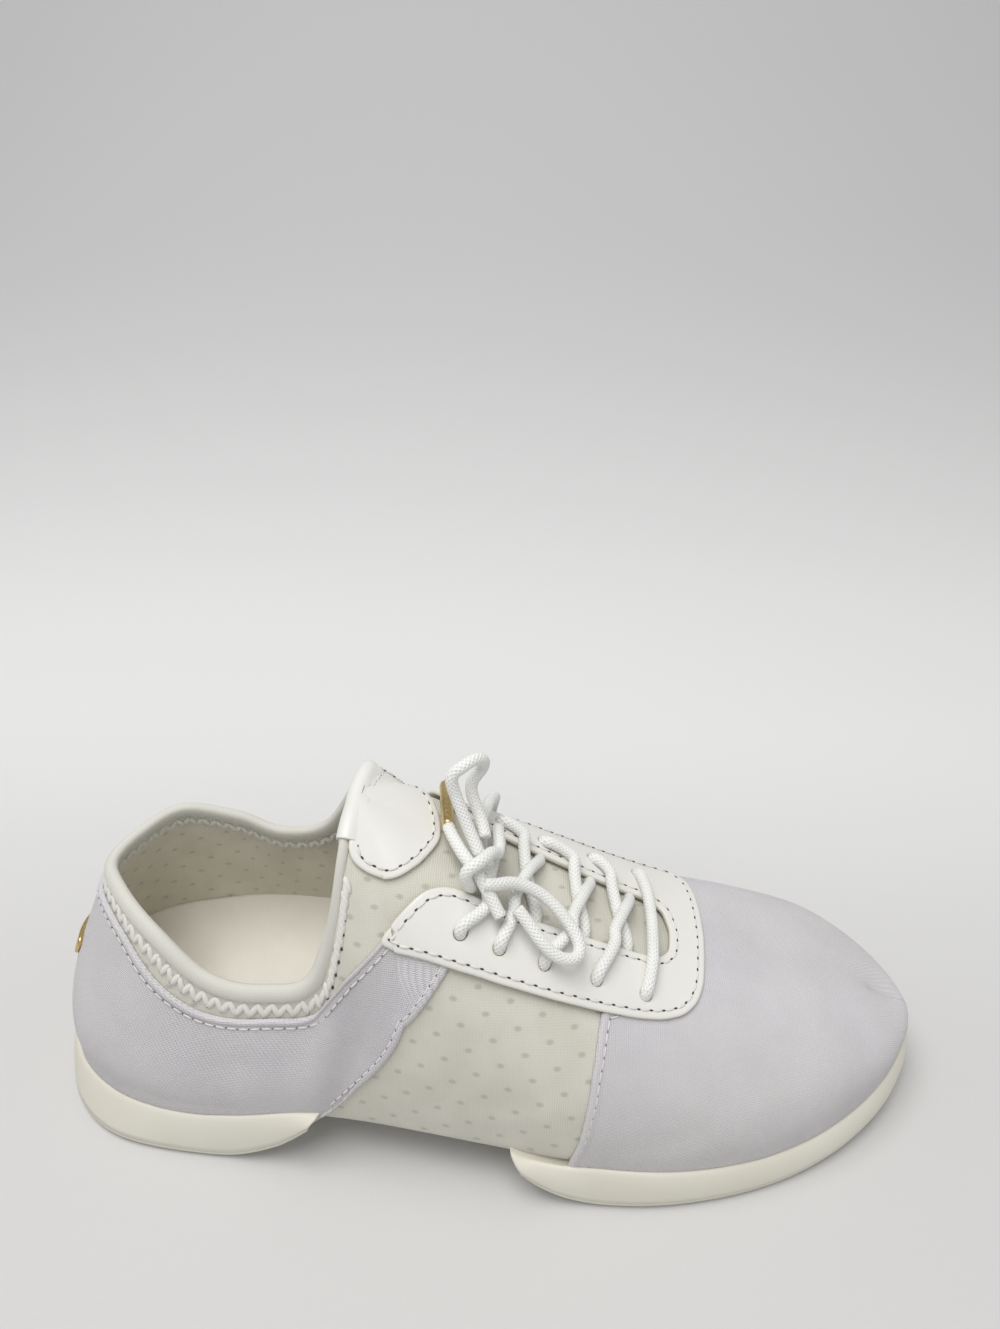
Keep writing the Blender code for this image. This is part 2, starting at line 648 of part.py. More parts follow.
def insole(material):
    """Cupped footbed, inside the bootie: the inner form below a dished surface."""
    bm = bmesh.new()
    top, floor = [], []
    for q in STATIONS:
        bottom = on_line(BOTTOM, q)[0]
        thick, cup = on_line(INSOLE, q)
        outer, out_a = outline_at(q, -1)
        inner, out_b = outline_at(q, 1)
        a, b = outer + out_a * 2.0, inner + out_b * 2.0
        row, under = [], []
        for k in range(INSOLE_ACROSS + 1):
            f = k / INSOLE_ACROSS
            point = a.lerp(b, f)
            dish = abs(2 * f - 1) ** 4 if q not in (0.0, float(TOE_TIP)) else 1.0
            row.append(bm.verts.new((point.x, point.y, bottom + WALL + GAP + thick + cup * dish)))
            under.append(bm.verts.new((point.x, point.y, 0.0)))
        top.append(row)
        floor.append(under)
    for sheet, flip in ((top, False), (floor, True)):
        for row, ahead in zip(sheet, sheet[1:]):
            for k in range(INSOLE_ACROSS):
                quad = (row[k], ahead[k], ahead[k + 1], row[k + 1])
                bm.faces.new(quad[::-1] if flip else quad)
    for k in (0, INSOLE_ACROSS):
        for i in range(len(top) - 1):
            bm.faces.new((top[i][k], top[i + 1][k], floor[i + 1][k], floor[i][k]))
    bmesh.ops.remove_doubles(bm, verts=bm.verts, dist=0.001)
    bmesh.ops.recalc_face_normals(bm, faces=bm.faces)
    block = to_object("dish", bm, None)
    body = to_object("footbed", form(-(WALL + GAP)), None)
    return named(boolean(body, block, "INTERSECT"), "insole", material)


LACE_LIFT = STAY_TOP + GAP + 0.5 * LACE + 0.15     # middle of a strand lying on the leather
TONGUE_LIFT = GAP + 0.5 * LACE + 0.35              # middle of a strand lying on the tongue
TUCK = 3.4               # where a strand leaves the tongue, short of the leather's edge
# Crossings from the top down: distance from the ridge to the leather's edge (outer, inner), stations at which
# the strand to the inner hole leaves the tongue and passes the edge, and the same for the strand to the outer hole
CROSSINGS = [
    (17.3, 8.3, 8.45, 8.3, 8.53, 8.36), (15.0, 8.8, 8.88, 8.7, 8.91, 8.62),
    (12.8, 9.3, 9.34, 9.19, 9.4, 9.17), (11.0, 10.2, 9.74, 9.55, 9.79, 9.56)]


def strand(level, side):
    """From under the eyestay on one side, over the throat and the other edge, to the next hole up."""
    outer_edge, inner_edge, inner_start, inner_lip, outer_start, outer_lip = CROSSINGS[level]
    hole_q, outer_hole, inner_hole = HOLES[level]
    if side < 0:
        stops = [(inner_start, TUCK - outer_edge, TONGUE_LIFT), (inner_lip, inner_edge, LACE_LIFT + 0.2),
                 (hole_q, inner_hole, LACE_LIFT)]
    else:
        stops = [(outer_start, inner_edge - TUCK, TONGUE_LIFT), (outer_lip, -outer_edge, LACE_LIFT + 0.2),
                 (hole_q, -outer_hole, LACE_LIFT)]
    start, lip, hole = stops
    middle = tuple(0.5 * (a + b) for a, b in zip(start, lip))
    path = [skin(*start), skin(middle[0], middle[1], LACE_LIFT - 0.8)]
    for a, b in ((middle, lip), (lip, hole)):
        for f in (0.5, 1.0):
            q, across = a[0] + (b[0] - a[0]) * f, a[1] + (b[1] - a[1]) * f
            path.append(skin(q, across, LACE_LIFT + (0.2 if b is lip else 0.1)))
    return path


def lacing(material):
    """Four crossings and the straight bar nearest the toe."""
    made = []
    for level in range(4):
        cross = tube(strand(level, -1), 0.5 * LACE)
        cross = boolean(cross, tube(strand(level, 1), 0.5 * LACE), "UNION")
        made.append(named(cross, "lace_cross_%d" % (level + 1), material))
    q, outer, inner = HOLES[-1]
    bar = []
    for k in range(9):
        f = k / 8
        bar.append(skin(q + 0.4 * f * (1.0 - f), inner * f - outer * (1.0 - f), LACE_LIFT))
    made.append(named(tube(bar, 0.5 * LACE), "lace_bar", material))
    return made


# Routes of the bow over the last: station, distance across the ridge, height of the strand's middle
BOW = {
    "lace_knot": [
        (8.24, -15.2, 2.4), (8.18, -16.8, 4.8), (8.09, -17.0, 7.4), (8.04, -16.2, 10.6), (8.11, -14.8, 12.9),
        (8.19, -12.8, 13.3), (8.3, -9.2, 12.2), (8.39, -7.6, 9.2), (8.43, -5.0, 8.5), (8.43, -2.0, 8.4),
        (8.42, 1.0, 8.2), (8.41, 4.0, 7.9)],
    "lace_loop_down": [
        (8.25, -16.8, 9.8), (8.33, -16.3, 9.8), (8.44, -14.2, 9.8), (8.57, -12.6, 9.6), (8.7, -12.2, 9.3),
        (8.83, -12.6, 9.0), (8.96, -14.8, 8.8), (9.05, -17.9, 8.6), (9.08, -21.0, 8.5), (9.03, -23.6, 8.5),
        (8.93, -24.4, 8.5), (8.82, -22.8, 8.6), (8.7, -20.4, 8.6), (8.58, -18.6, 8.6)],
    "lace_loop_up": [
        (8.23, -9.7, 8.9), (8.16, -6.8, 9.8), (8.09, -4.9, 11.2), (7.99, -2.9, 13.6), (7.85, -0.9, 17.0),
        (7.74, -0.3, 20.5), (7.74, 0.7, 22.5), (7.8, 1.3, 24.0), (7.83, 3.6, 25.5), (7.89, 5.4, 26.0),
        (7.97, 7.4, 24.6), (8.0, 7.6, 21.6), (7.97, 6.4, 18.6), (7.98, 4.6, 16.6), (8.07, 3.2, 14.2),
        (8.17, 0.9, 12.4), (8.24, -2.3, 11.0), (8.27, -4.6, 10.4)],
    "lace_end_near": [
        (8.18, -13.2, 8.3), (8.12, -12.0, 7.9), (8.07, -9.4, 6.9), (8.02, -4.7, 5.6), (7.99, -1.4, 5.1)],
    "lace_end_far": [
        (8.23, 0.0, 7.9), (8.25, 6.0, 8.2), (8.25, 13.0, 8.6), (8.26, 20.0, 7.4), (8.22, 27.0, 6.0),
        (8.14, 34.0, 5.0), (8.06, 41.0, 4.2)],
}
AGLETS = {
    "aglet_near": [(7.965, 0.9, 5.0), (7.65, 17.4, 6.0)],
    "aglet_far": [(8.04, 43.4, 4.0), (7.98, 56.0, 3.6)],
}
CORD_STEP = 4.6


def cord_points(route):
    """Even points on a smooth curve through a route."""
    stops = [tuple(skin(*row)) for row in route]
    dense = [Vector(on_line(stops, k / 12)) for k in range(12 * (len(stops) - 1) + 1)]
    total = sum((b - a).length for a, b in zip(dense, dense[1:]))
    count = max(round(total / CORD_STEP), 3)
    points, run, target = [dense[0]], 0.0, total / count
    for a, b in zip(dense, dense[1:]):
        step = (b - a).length
        while run + step >= target - 1e-6 and len(points) < count:
            points.append(a.lerp(b, (target - run) / step))
            target += total / count
        run += step
    return points + [dense[-1]]


def bow(cord, metal):
    for name, route in BOW.items():
        curve = bpy.data.curves.new(name, "CURVE")
        curve.dimensions = "3D"
        curve.bevel_depth = 0.5 * LACE * MM
        curve.bevel_resolution = 2
        curve.use_fill_caps = True
        spline = curve.splines.new("POLY")
        points = cord_points(route)
        spline.points.add(len(points) - 1)
        for place, point in zip(spline.points, points):
            place.co = (*(point * MM), 1.0)
        curve.materials.append(cord)
        bpy.context.collection.objects.link(bpy.data.objects.new(name, curve))
    for name, (start, end) in AGLETS.items():
        a, b = skin(*start), skin(*end)
        along = (b - a).normalized()
        path = [a, b - along * 1.2, b]
        tip = tube(path, 0.5 * LACE)
        named(tip, name, metal)


def finish_material(name, color, roughness, metallic=0.0):
    material = bpy.data.materials.new(name)
    material.use_nodes = True
    shader = material.node_tree.nodes["Principled BSDF"]
    shader.inputs["Base Color"].default_value = (*color, 1.0)
    shader.inputs["Roughness"].default_value = roughness
    shader.inputs["Metallic"].default_value = metallic
    material.diffuse_color = (*color, 1.0)
    return material


def set_down():
    """Moves the finished shoe so that the middle of its outline is over the origin and it stands on z = 0."""
    low, high = Vector((1e9,) * 3), Vector((-1e9,) * 3)
    cords = set(BOW) | set(AGLETS)
    for obj in bpy.data.objects:
        if obj.name in cords:
            continue
        for vert in obj.data.vertices:
            for axis in range(3):
                low[axis] = min(low[axis], vert.co[axis])
                high[axis] = max(high[axis], vert.co[axis])
    shift = Matrix.Translation((-0.5 * (low.x + high.x), -0.5 * (low.y + high.y), -low.z))
    for obj in bpy.data.objects:
        obj.data.transform(shift)


def build():
    for old in list(bpy.data.objects):
        bpy.data.objects.remove(old, do_unlink=True)
    neoprene = finish_material("neoprene", (0.66, 0.65, 0.60), 0.9)
    cloth = finish_material("canvas", (0.66, 0.65, 0.70), 0.9)
    white_leather = finish_material("white leather", (0.84, 0.84, 0.81), 0.45)
    foam = finish_material("cream foam", (0.80, 0.78, 0.71), 0.6)
    rubber = finish_material("cream rubber", (0.77, 0.75, 0.68), 0.7)
    footbed = finish_material("footbed", (0.74, 0.71, 0.64), 0.8)
    cord = finish_material("lace", (0.84, 0.84, 0.82), 0.85)
    brass = finish_material("brass", (0.72, 0.55, 0.25), 0.3, 1.0)
    upper(neoprene)
    vamp_panel(cloth)
    heel_panel(cloth)
    eyestay(white_leather)
    tongue_patch(white_leather)
    heel_badge(brass)
    soles(foam, rubber)
    insole(footbed)
    lacing(cord)
    bow(cord, brass)
    set_down()


build()
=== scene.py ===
"""Looks of the split-sole dance sneaker, right shoe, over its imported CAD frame.

Tables and working sizes are in millimetres, in the last's own axes: x runs from the back of the heel to the toe,
y from the outer side (negative) to the inner side (positive), z up from the floor.
"""
import math

import bmesh
import bpy
import numpy as np
from mathutils import Matrix, Vector
from mathutils.geometry import delaunay_2d_cdt


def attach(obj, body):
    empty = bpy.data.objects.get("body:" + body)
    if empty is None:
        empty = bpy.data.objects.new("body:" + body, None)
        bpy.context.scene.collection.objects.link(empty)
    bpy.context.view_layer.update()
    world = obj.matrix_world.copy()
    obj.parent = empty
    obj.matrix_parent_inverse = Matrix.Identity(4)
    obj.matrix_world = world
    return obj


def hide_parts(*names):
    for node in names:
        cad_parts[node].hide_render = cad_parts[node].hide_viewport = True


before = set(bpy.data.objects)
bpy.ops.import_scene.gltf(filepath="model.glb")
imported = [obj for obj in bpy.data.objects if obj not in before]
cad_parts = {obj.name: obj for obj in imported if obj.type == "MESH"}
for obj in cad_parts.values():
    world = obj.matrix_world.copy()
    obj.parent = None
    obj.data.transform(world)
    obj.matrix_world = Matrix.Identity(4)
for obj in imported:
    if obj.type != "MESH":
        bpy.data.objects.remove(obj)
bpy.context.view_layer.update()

MM = 0.001
MIDDLE = np.array((138.910, -0.988, 0.0))   # the frame's origin, in the last's axes

WALL = 2.2              # neoprene of the bootie
GAP = 0.3               # space between pieces that touch
CANVAS = 0.9
LEATHER = 1.2
LACE = 3.6
STAY_LOW = CANVAS + 2 * GAP
STAY_HIGH = STAY_LOW + LEATHER
LACE_LIFT = STAY_HIGH + 0.5 * LACE + 0.1
TONGUE_LIFT = 0.5 * LACE + 0.3

# Stations round the foot, from the back of the heel (0) to the toe tip (14)
TONGUE_TOP = 7
TOE_TIP = 14
ROUND = 28              # stations once round: outer side to the toe, inner side back to the heel

OUTLINE = [
    (5.0, 1.0, 5.0, 1.0), (12.0, -18.5, 11.5, 19.0), (26.0, -30.5, 25.0, 29.5), (45.0, -37.0, 45.0, 34.0),
    (68.0, -39.5, 68.0, 34.5), (90.0, -39.5, 90.0, 31.5), (108.0, -40.5, 108.0, 28.5),
    (122.0, -42.0, 122.0, 28.0), (143.0, -44.5, 143.0, 30.0), (168.0, -47.0, 168.0, 36.0),
    (196.0, -46.0, 196.0, 43.0), (224.0, -39.0, 224.0, 45.0), (248.0, -27.0, 248.0, 39.5),
    (266.0, -11.5, 266.0, 25.0), (274.5, 6.0, 274.5, 6.0)]
BOTTOM = [
    (13.5, 7.0), (13.5, 7.0), (13.5, 7.0), (13.5, 7.0), (13.5, 7.0), (13.0, 7.0), (12.5, 7.0), (12.0, 7.0),
    (11.0, 7.5), (9.5, 8.0), (9.0, 8.0), (9.3, 8.0), (10.5, 8.0), (12.0, 7.0), (13.0, 6.5)]
COLLAR = [
    (24.0, 3.5, 74.5, 24.0, 3.5, 74.5), (32.0, -9.0, 74.5, 29.5, 15.5, 77.0),
    (46.0, -21.0, 71.0, 41.0, 24.5, 79.5), (62.5, -28.7, 61.5, 58.0, 27.0, 75.0),
    (79.5, -31.0, 60.2, 73.0, 25.5, 70.5), (95.0, -28.5, 65.8, 89.0, 25.0, 75.5),
    (102.0, -14.5, 98.0, 103.5, 21.0, 102.0), (103.0, 3.5, 104.5, 103.0, 3.5, 104.5)]
RIDGE = [
    (103.0, 3.5, 104.5), (127.0, 3.5, 92.0), (158.0, 3.5, 74.0), (190.0, 3.5, 56.0),
    (216.0, 4.0, 47.5), (238.0, 4.5, 41.5), (254.0, 5.5, 35.0), (261.5, 6.0, 30.0)]
PULL = [
    (0.5, 16.0, -5.0, 0.0, 16.0, 0.5, 16.0, -5.0, 0.0, 16.0),
    (1.0, 16.0, -4.0, 3.0, 17.0, 1.0, 16.0, -4.0, 3.0, 17.0),
    (1.5, 16.0, -2.0, 4.0, 17.0, 1.5, 16.0, -2.0, 4.0, 17.0),
    (2.0, 14.0, 0.0, 3.0, 15.0, 2.0, 16.0, 0.0, 3.0, 16.0),
    (1.5, 13.0, 0.0, 2.5, 13.0, 1.0, 15.0, 0.0, 2.5, 15.0),
    (1.0, 16.0, 0.0, 3.0, 15.0, 0.5, 17.0, 0.0, 3.0, 16.0),
    (1.0, 28.0, 3.0, 12.0, 17.0, 1.0, 34.0, 3.0, 12.0, 17.0),
    (1.0, 38.0, 16.0, 24.0, 5.0, 1.0, 47.0, 16.0, 26.0, 5.0),
    (1.0, 36.0, 5.0, 28.0, 1.0, 2.0, 46.0, 5.0, 30.0, 1.0),
    (0.0, 28.0, 0.0, 29.0, 0.0, 3.0, 41.0, 0.0, 31.0, 0.0),
    (0.0, 19.0, 0.0, 28.0, 0.0, 2.0, 31.0, 0.0, 30.0, 0.0),
    (0.0, 14.0, 0.0, 25.0, 0.0, 1.0, 25.0, 0.0, 28.0, 0.0),
    (0.5, 12.0, 4.0, 18.0, 1.5, 1.0, 20.0, 4.0, 23.0, 1.5),
    (1.0, 9.0, 7.0, 9.0, 4.0, 1.0, 14.0, 7.0, 10.0, 4.0),
    (1.0, 8.0, 9.0, 0.0, 6.0, 1.0, 8.0, 9.0, 0.0, 6.0)]

# Rear edge of the toe canvas: distance down, station
VAMP_EDGE = [(0.0, 10.3), (14.0, 10.3), (21.0, 10.1), (27.0, 9.72), (32.9, 9.44), (40.8, 9.37), (46.6, 9.32),
             (52.7, 9.26), (59.2, 9.21), (66.4, 9.14), (74.3, 9.07), (82.2, 8.98), (91.0, 8.9), (106.0, 8.8)]
VAMP_MIDDLE = 9.15       # station of the middle of that edge
# Top edge of the heel canvas: station, distance down
HEEL_TOP = [
    (0.0, 6.8), (1.0, 6.6), (1.5, 7.4), (1.88, 9.6), (2.18, 10.9), (2.45, 11.0), (2.78, 10.2), (3.11, 9.3),
    (3.53, 8.3), (3.86, 7.8), (4.35, 7.5), (4.68, 8.5), (4.95, 10.6), (5.18, 14.0), (5.5, 21.8), (5.77, 28.6),
    (6.0, 32.3), (6.23, 34.4), (6.45, 35.5), (6.67, 36.8), (7.2, 38.6), (7.9, 37.8)]
# Front seam of the heel canvas: station, distance down
HEEL_FRONT = [(7.85, 37.8), (7.81, 41.6), (7.66, 46.8), (7.46, 53.2), (7.28, 59.0), (7.1, 64.6), (6.89, 68.8),
              (6.66, 70.4), (6.43, 70.4), (6.18, 69.4), (5.97, 67.8), (5.76, 65.0), (5.58, 61.4), (5.39, 57.6),
              (5.29, 56.2), (5.2, 53.9)]
STAY_OUTER = [
    (113.2, -26.1), (119.7, -27.2), (124.9, -27.9), (129.9, -28.4), (135.2, -28.7), (145.7, -28.9), (153.8, -28.6),
    (162.0, -28.2), (173.2, -27.2), (184.7, -25.6), (192.2, -23.9), (198.6, -21.2), (202.6, -17.2), (204.9, -11.8),
    (206.0, -4.0), (206.8, 4.5), (206.8, 14.0), (206.2, 22.0), (204.4, 29.5), (199.0, 34.5), (187.0, 34.2),
    (172.0, 31.5), (157.0, 29.0), (140.0, 28.3), (127.0, 28.6), (117.0, 28.0)]
STAY_THROAT = [
    (119.5, 24.0), (126.0, 18.0), (133.0, 13.2), (140.0, 12.0), (152.0, 11.9), (165.0, 12.4), (178.0, 13.0),
    (189.0, 13.8), (194.0, 11.5), (195.8, 4.0), (195.0, -4.0), (191.5, -7.4), (178.0, -9.3), (165.0, -11.0),
    (152.0, -12.6), (144.2, -13.1), (137.3, -13.0), (133.3, -12.9), (129.3, -13.6), (125.5, -15.6),
    (123.2, -17.4), (121.2, -19.6), (119.1, -21.4), (117.1, -22.8)]
HOLES = [(8.05, 29.5, 15.5), (8.46, 28.5, 15.0), (8.9, 27.0, 15.0), (9.39, 25.0, 18.5), (9.85, 23.5, 21.0)]
HOLE_RADIUS = 2.0
PATCH = [(103.6, -12.6), (105.4, -14.4), (109.9, -15.7), (114.4, -15.9), (117.0, -15.3), (119.4, -13.8),
         (122.6, -10.2), (125.4, -4.7), (126.9, 0.0), (126.5, 5.1), (125.2, 9.9), (122.4, 15.6), (117.5, 20.4),
         (111.0, 22.0), (105.6, 20.6), (103.9, 18.5), (103.5, 3.0)]
HEEL_BAR = (3.5, 44.0, 8.0, 3.2, 1.1)      # middle y, z, half width, half height, thickness
CROSSINGS = [
    (17.3, 8.3, 8.45, 8.3, 8.53, 8.36), (15.0, 8.8, 8.88, 8.7, 8.91, 8.62),
    (12.8, 9.3, 9.34, 9.19, 9.4, 9.17), (11.0, 10.2, 9.74, 9.55, 9.79, 9.56)]
BOW = {
    "bow_knot": [
        (8.24, -15.2, 2.4), (8.18, -16.8, 4.8), (8.09, -17.0, 7.4), (8.04, -16.2, 10.6), (8.11, -14.8, 12.9),
        (8.19, -12.8, 13.3), (8.3, -9.2, 12.2), (8.39, -7.6, 9.2), (8.43, -5.0, 8.5), (8.43, -2.0, 8.4),
        (8.42, 1.0, 8.2), (8.41, 4.0, 7.9)],
    "bow_loop_down": [
        (8.25, -16.8, 9.8), (8.33, -16.3, 9.8), (8.44, -14.2, 9.8), (8.57, -12.6, 9.6), (8.7, -12.0, 9.3),
        (8.84, -12.4, 9.0), (8.98, -14.5, 8.8), (9.1, -17.6, 8.6), (9.16, -21.2, 8.5), (9.11, -24.6, 8.5),
        (8.95, -26.0, 8.5), (8.79, -24.2, 8.6), (8.67, -21.0, 8.6), (8.57, -18.6, 8.6)],
    "bow_loop_up": [
        (8.23, -9.7, 8.9), (8.16, -6.8, 9.8), (8.09, -4.9, 11.2), (7.99, -2.9, 13.6), (7.85, -0.9, 17.0),
        (7.74, -0.3, 20.5), (7.74, 0.7, 22.5), (7.8, 1.3, 24.0), (7.83, 3.6, 25.5), (7.89, 5.4, 26.0),
        (7.97, 7.4, 24.6), (8.0, 7.6, 21.6), (7.97, 6.4, 18.6), (7.98, 4.6, 16.6), (8.07, 3.2, 14.2),
        (8.17, 0.9, 12.4), (8.24, -2.3, 11.0), (8.27, -4.6, 10.4)],
    "bow_end_near": [
        (8.43, -22.0, 6.9), (8.34, -18.6, 7.6), (8.25, -15.6, 8.2), (8.18, -13.2, 8.3), (8.12, -12.0, 7.9),
        (8.07, -9.4, 6.9), (8.02, -4.7, 5.6), (7.99, -1.4, 5.1)],
    "bow_end_far": [
        (8.23, 0.0, 7.9), (8.25, 6.0, 8.2), (8.25, 13.0, 8.6), (8.26, 20.0, 7.4), (8.22, 27.0, 6.0),
        (8.14, 34.0, 5.0), (8.06, 41.0, 4.2)],
}
AGLETS = {
    "near": [(7.99, -1.4, 5.1), (7.65, 17.4, 6.0)],
    "far": [(8.06, 41.0, 4.2), (7.98, 56.0, 3.6)],
}


# The last: a chart of the foot's surface

def smooth_row(rows, t, closed):
    """Values of a table at places t, smooth from row to row (Catmull-Rom)."""
    rows = np.asarray(rows, float)
    t = np.asarray(t, float)
    n = len(rows)
    if closed:
        i = np.floor(t).astype(int)
        f = (t - i)[..., None]
        a, b, c, d = (rows[(i + k) % n] for k in (-1, 0, 1, 2))
    else:
        i = np.clip(np.floor(t), 0, n - 2).astype(int)
        f = (t - i)[..., None]
        ahead = np.vstack([2 * rows[0] - rows[1], rows, 2 * rows[-1] - rows[-2]])
        a, b, c, d = (ahead[i + k] for k in range(4))
    return 0.5 * (2 * b + (c - a) * f + (2 * a - 5 * b + 4 * c - d) * f ** 2 + (3 * b - a - 3 * c + d) * f ** 3)


def once_round(rows):
    """Outer side from heel to toe, then inner side back to the heel, as one closed table."""
    rows = np.asarray(rows, float)
    half = rows.shape[1] // 2
    return np.vstack([rows[:, :half], rows[-2:0:-1, half:]])


def unit(v):
    return v / np.maximum(np.linalg.norm(v, axis=-1, keepdims=True), 1e-9)


def ease(low, high, x):
    """0 below low, 1 above high, smooth between."""
    f = np.clip((x - low) / (high - low), 0.0, 1.0)
    return f * f * (3 - 2 * f)


def folded(turn):
    """Station of a place once round: the inner side counts as the outer one does."""
    return np.where(turn <= TOE_TIP, turn, ROUND - turn)


def lengths(points, axis=0):
    """Distance from the first point along a line, or along each line of a grid."""
    run = np.cumsum(np.linalg.norm(np.diff(points, axis=axis), axis=-1), axis=axis)
    return np.concatenate([np.zeros_like(run[:1] if axis == 0 else run[:, :1]), run], axis=axis)


def read_at(at, run, rows):
    """Rows of a table read at other distances along it."""
    return np.stack([np.interp(at, run, rows[:, k]) for k in range(rows.shape[1])], -1)


def bell(width, spread):
    """Weights of a soft average over neighbours on both sides."""
    weights = np.exp(-0.5 * (np.arange(-width, width + 1) / spread) ** 2)
    return weights / weights.sum()


RIDGE_SOFT = 3.0         # how softly the ridge is rounded
RIDGE_START = 7.2        # station from which it is
RIDGE_END = 7.8          # station from which it is in full
SIDE_POINTS = 81         # points down a side curve
UNDER_POINTS = 12        # points round the corner under it, and again across to the middle
TURN_STEP = 0.02
DOWN_STEP = 0.4
OUTLINE_ROUND = once_round(OUTLINE)
COLLAR_ROUND = once_round(COLLAR)
PULL_ROUND = once_round(PULL)


def outline_at(turn):
    """Widest outline at a station once round, and the way out from it."""
    base = smooth_row(OUTLINE_ROUND, turn, True)
    step = smooth_row(OUTLINE_ROUND, turn + 0.05, True) - smooth_row(OUTLINE_ROUND, turn - 0.05, True)
    out = unit(np.stack([step[..., 1], -step[..., 0]], axis=-1))
    zero = np.zeros(base.shape[:-1] + (1,))
    return np.concatenate([base, zero], -1), np.concatenate([out, zero], -1)


def soften_ridge(places, station):
    """Rounds the line where the outer and inner halves meet over the instep and toe."""
    reach = int(RIDGE_SOFT * 4 / DOWN_STEP)
    width = 3 * int(RIDGE_SOFT / DOWN_STEP)
    joined = np.concatenate([places[:, reach:0:-1], places[::-1, :reach + 1]], axis=1)
    padded = np.concatenate([joined[:, :1]] * width + [joined] + [joined[:, -1:]] * width, axis=1)
    kernel = np.exp(-0.5 * (np.arange(-width, width + 1) * DOWN_STEP / RIDGE_SOFT) ** 2)
    kernel /= kernel.sum()
    rounded = sum(k * padded[:, i:i + joined.shape[1]] for i, k in enumerate(kernel))
    distance = np.abs(np.arange(joined.shape[1]) - reach) * DOWN_STEP
    share = ease(reach * DOWN_STEP, 0.4 * reach * DOWN_STEP, distance)[None, :, None]
    share = share * ease(RIDGE_START, RIDGE_END, station)[:, None, None]
    joined = joined + (rounded - joined) * share
    over = station > RIDGE_START
    places = places.copy()
    places[over, :reach + 1] = joined[over, reach::-1]
    return places


def lay_out_last():
    """Points down every side curve of the last, with the lengths to its widest line, its corner and its end."""
    turn = np.arange(0.0, ROUND + 0.5 * TURN_STEP, TURN_STEP)
    station = folded(turn)
    side = np.where(turn <= TOE_TIP, -1.0, 1.0)
    base, out = outline_at(turn)
    bottom, radius = smooth_row(BOTTOM, station, False).T
    foot_out, foot_up, fwd, outward, down = smooth_row(PULL_ROUND, turn, True).T
    collar = smooth_row(COLLAR_ROUND, np.where(side < 0, station, 2 * TONGUE_TOP - station), True)
    ridge = smooth_row(RIDGE, np.maximum(station - TONGUE_TOP, 0.0), False)
    top = np.where((station <= TONGUE_TOP)[:, None], collar, ridge)
    up = np.array((0.0, 0.0, 1.0))
    start = base + up * (bottom + radius)[:, None]
    p1 = start + out * foot_out[:, None] + up * foot_up[:, None]
    p2 = top + np.stack([fwd, side * outward, -down], -1)
    t = np.linspace(1.0, 0.0, SIDE_POINTS)[None, :, None]
    side_curve = (start[:, None] * (1 - t) ** 3 + p1[:, None] * 3 * t * (1 - t) ** 2
                  + p2[:, None] * 3 * t * t * (1 - t) + top[:, None] * t ** 3)
    a = np.linspace(0.5 * math.pi, 0.0, UNDER_POINTS + 1)[None, 1:, None]
    corner = (base[:, None] + out[:, None] * radius[:, None, None] * (np.sin(a) - 1)
              + up * (bottom[:, None, None] + radius[:, None, None] * (1 - np.cos(a))))
    mid = 0.5 * (corner[:, -1] + corner[::-1, -1])
    f = np.linspace(0.0, 1.0, UNDER_POINTS + 1)[None, 1:, None]
    path = np.concatenate([side_curve, corner, corner[:, -1:] * (1 - f) + mid[:, None] * f], axis=1)
    runs = lengths(path, 1)
    stops = np.arange(math.ceil(runs[:, -1].max() / DOWN_STEP) + 1) * DOWN_STEP
    places = np.array([read_at(stops, run, line) for run, line in zip(runs, path)])
    places = soften_ridge(places, station)
    along = np.roll(places[:-1], -1, 0) - np.roll(places[:-1], 1, 0)
    along = np.concatenate([along, along[:1]])
    downs = np.gradient(places, axis=1)
    normals = unit(np.cross(downs, along))
    normals[np.linalg.norm(downs, axis=2) < 1e-6] = (0.0, 0.0, -1.0)
    on_ridge = np.where(station > TONGUE_TOP)[0]
    normals[on_ridge, 0] = unit(normals[on_ridge, 0] + normals[::-1][on_ridge, 0])
    return places, normals, runs[:, SIDE_POINTS - 1], runs[:, SIDE_POINTS + UNDER_POINTS - 1], runs[:, -1]


LAST, LAST_NORMAL, SIDE_REACH, CORNER_REACH, FULL_REACH = lay_out_last()
TURNS = np.arange(len(LAST)) * TURN_STEP


def side_length(turn):
    """Length of a side curve from its top down to the widest line."""
    return np.interp(turn, TURNS, SIDE_REACH)


def bilinear(chart, turn, down):
    i = np.clip(turn / TURN_STEP, 0, len(LAST) - 1.001)
    j = np.clip(down / DOWN_STEP, 0, LAST.shape[1] - 1.001)
    i0, j0 = i.astype(int), j.astype(int)
    f, g = (i - i0)[..., None], (j - j0)[..., None]
    return ((chart[i0, j0] * (1 - g) + chart[i0, j0 + 1] * g) * (1 - f)
            + (chart[i0 + 1, j0] * (1 - g) + chart[i0 + 1, j0 + 1] * g) * f)


def on_last(turn, down, height=0.0):
    """Places over the last: station once round, distance down from the collar or ridge, height off the bootie."""
    turn, down, height = np.broadcast_arrays(*(np.asarray(v, float) for v in (turn, down, height)))
    point = bilinear(LAST, turn, np.maximum(down, 0.0))
    normal = unit(bilinear(LAST_NORMAL, turn, np.maximum(down, 0.0)))
    above = unit(bilinear(LAST, turn, np.zeros_like(down)) - bilinear(LAST, turn, np.full_like(down, 1.2)))
    return point + normal * height[..., None] + above * np.maximum(-down, 0.0)[..., None]


def normal_on_last(turn, down):
    turn, down = np.broadcast_arrays(np.asarray(turn, float), np.asarray(down, float))
    return unit(bilinear(LAST_NORMAL, turn, np.maximum(down, 0.0)))


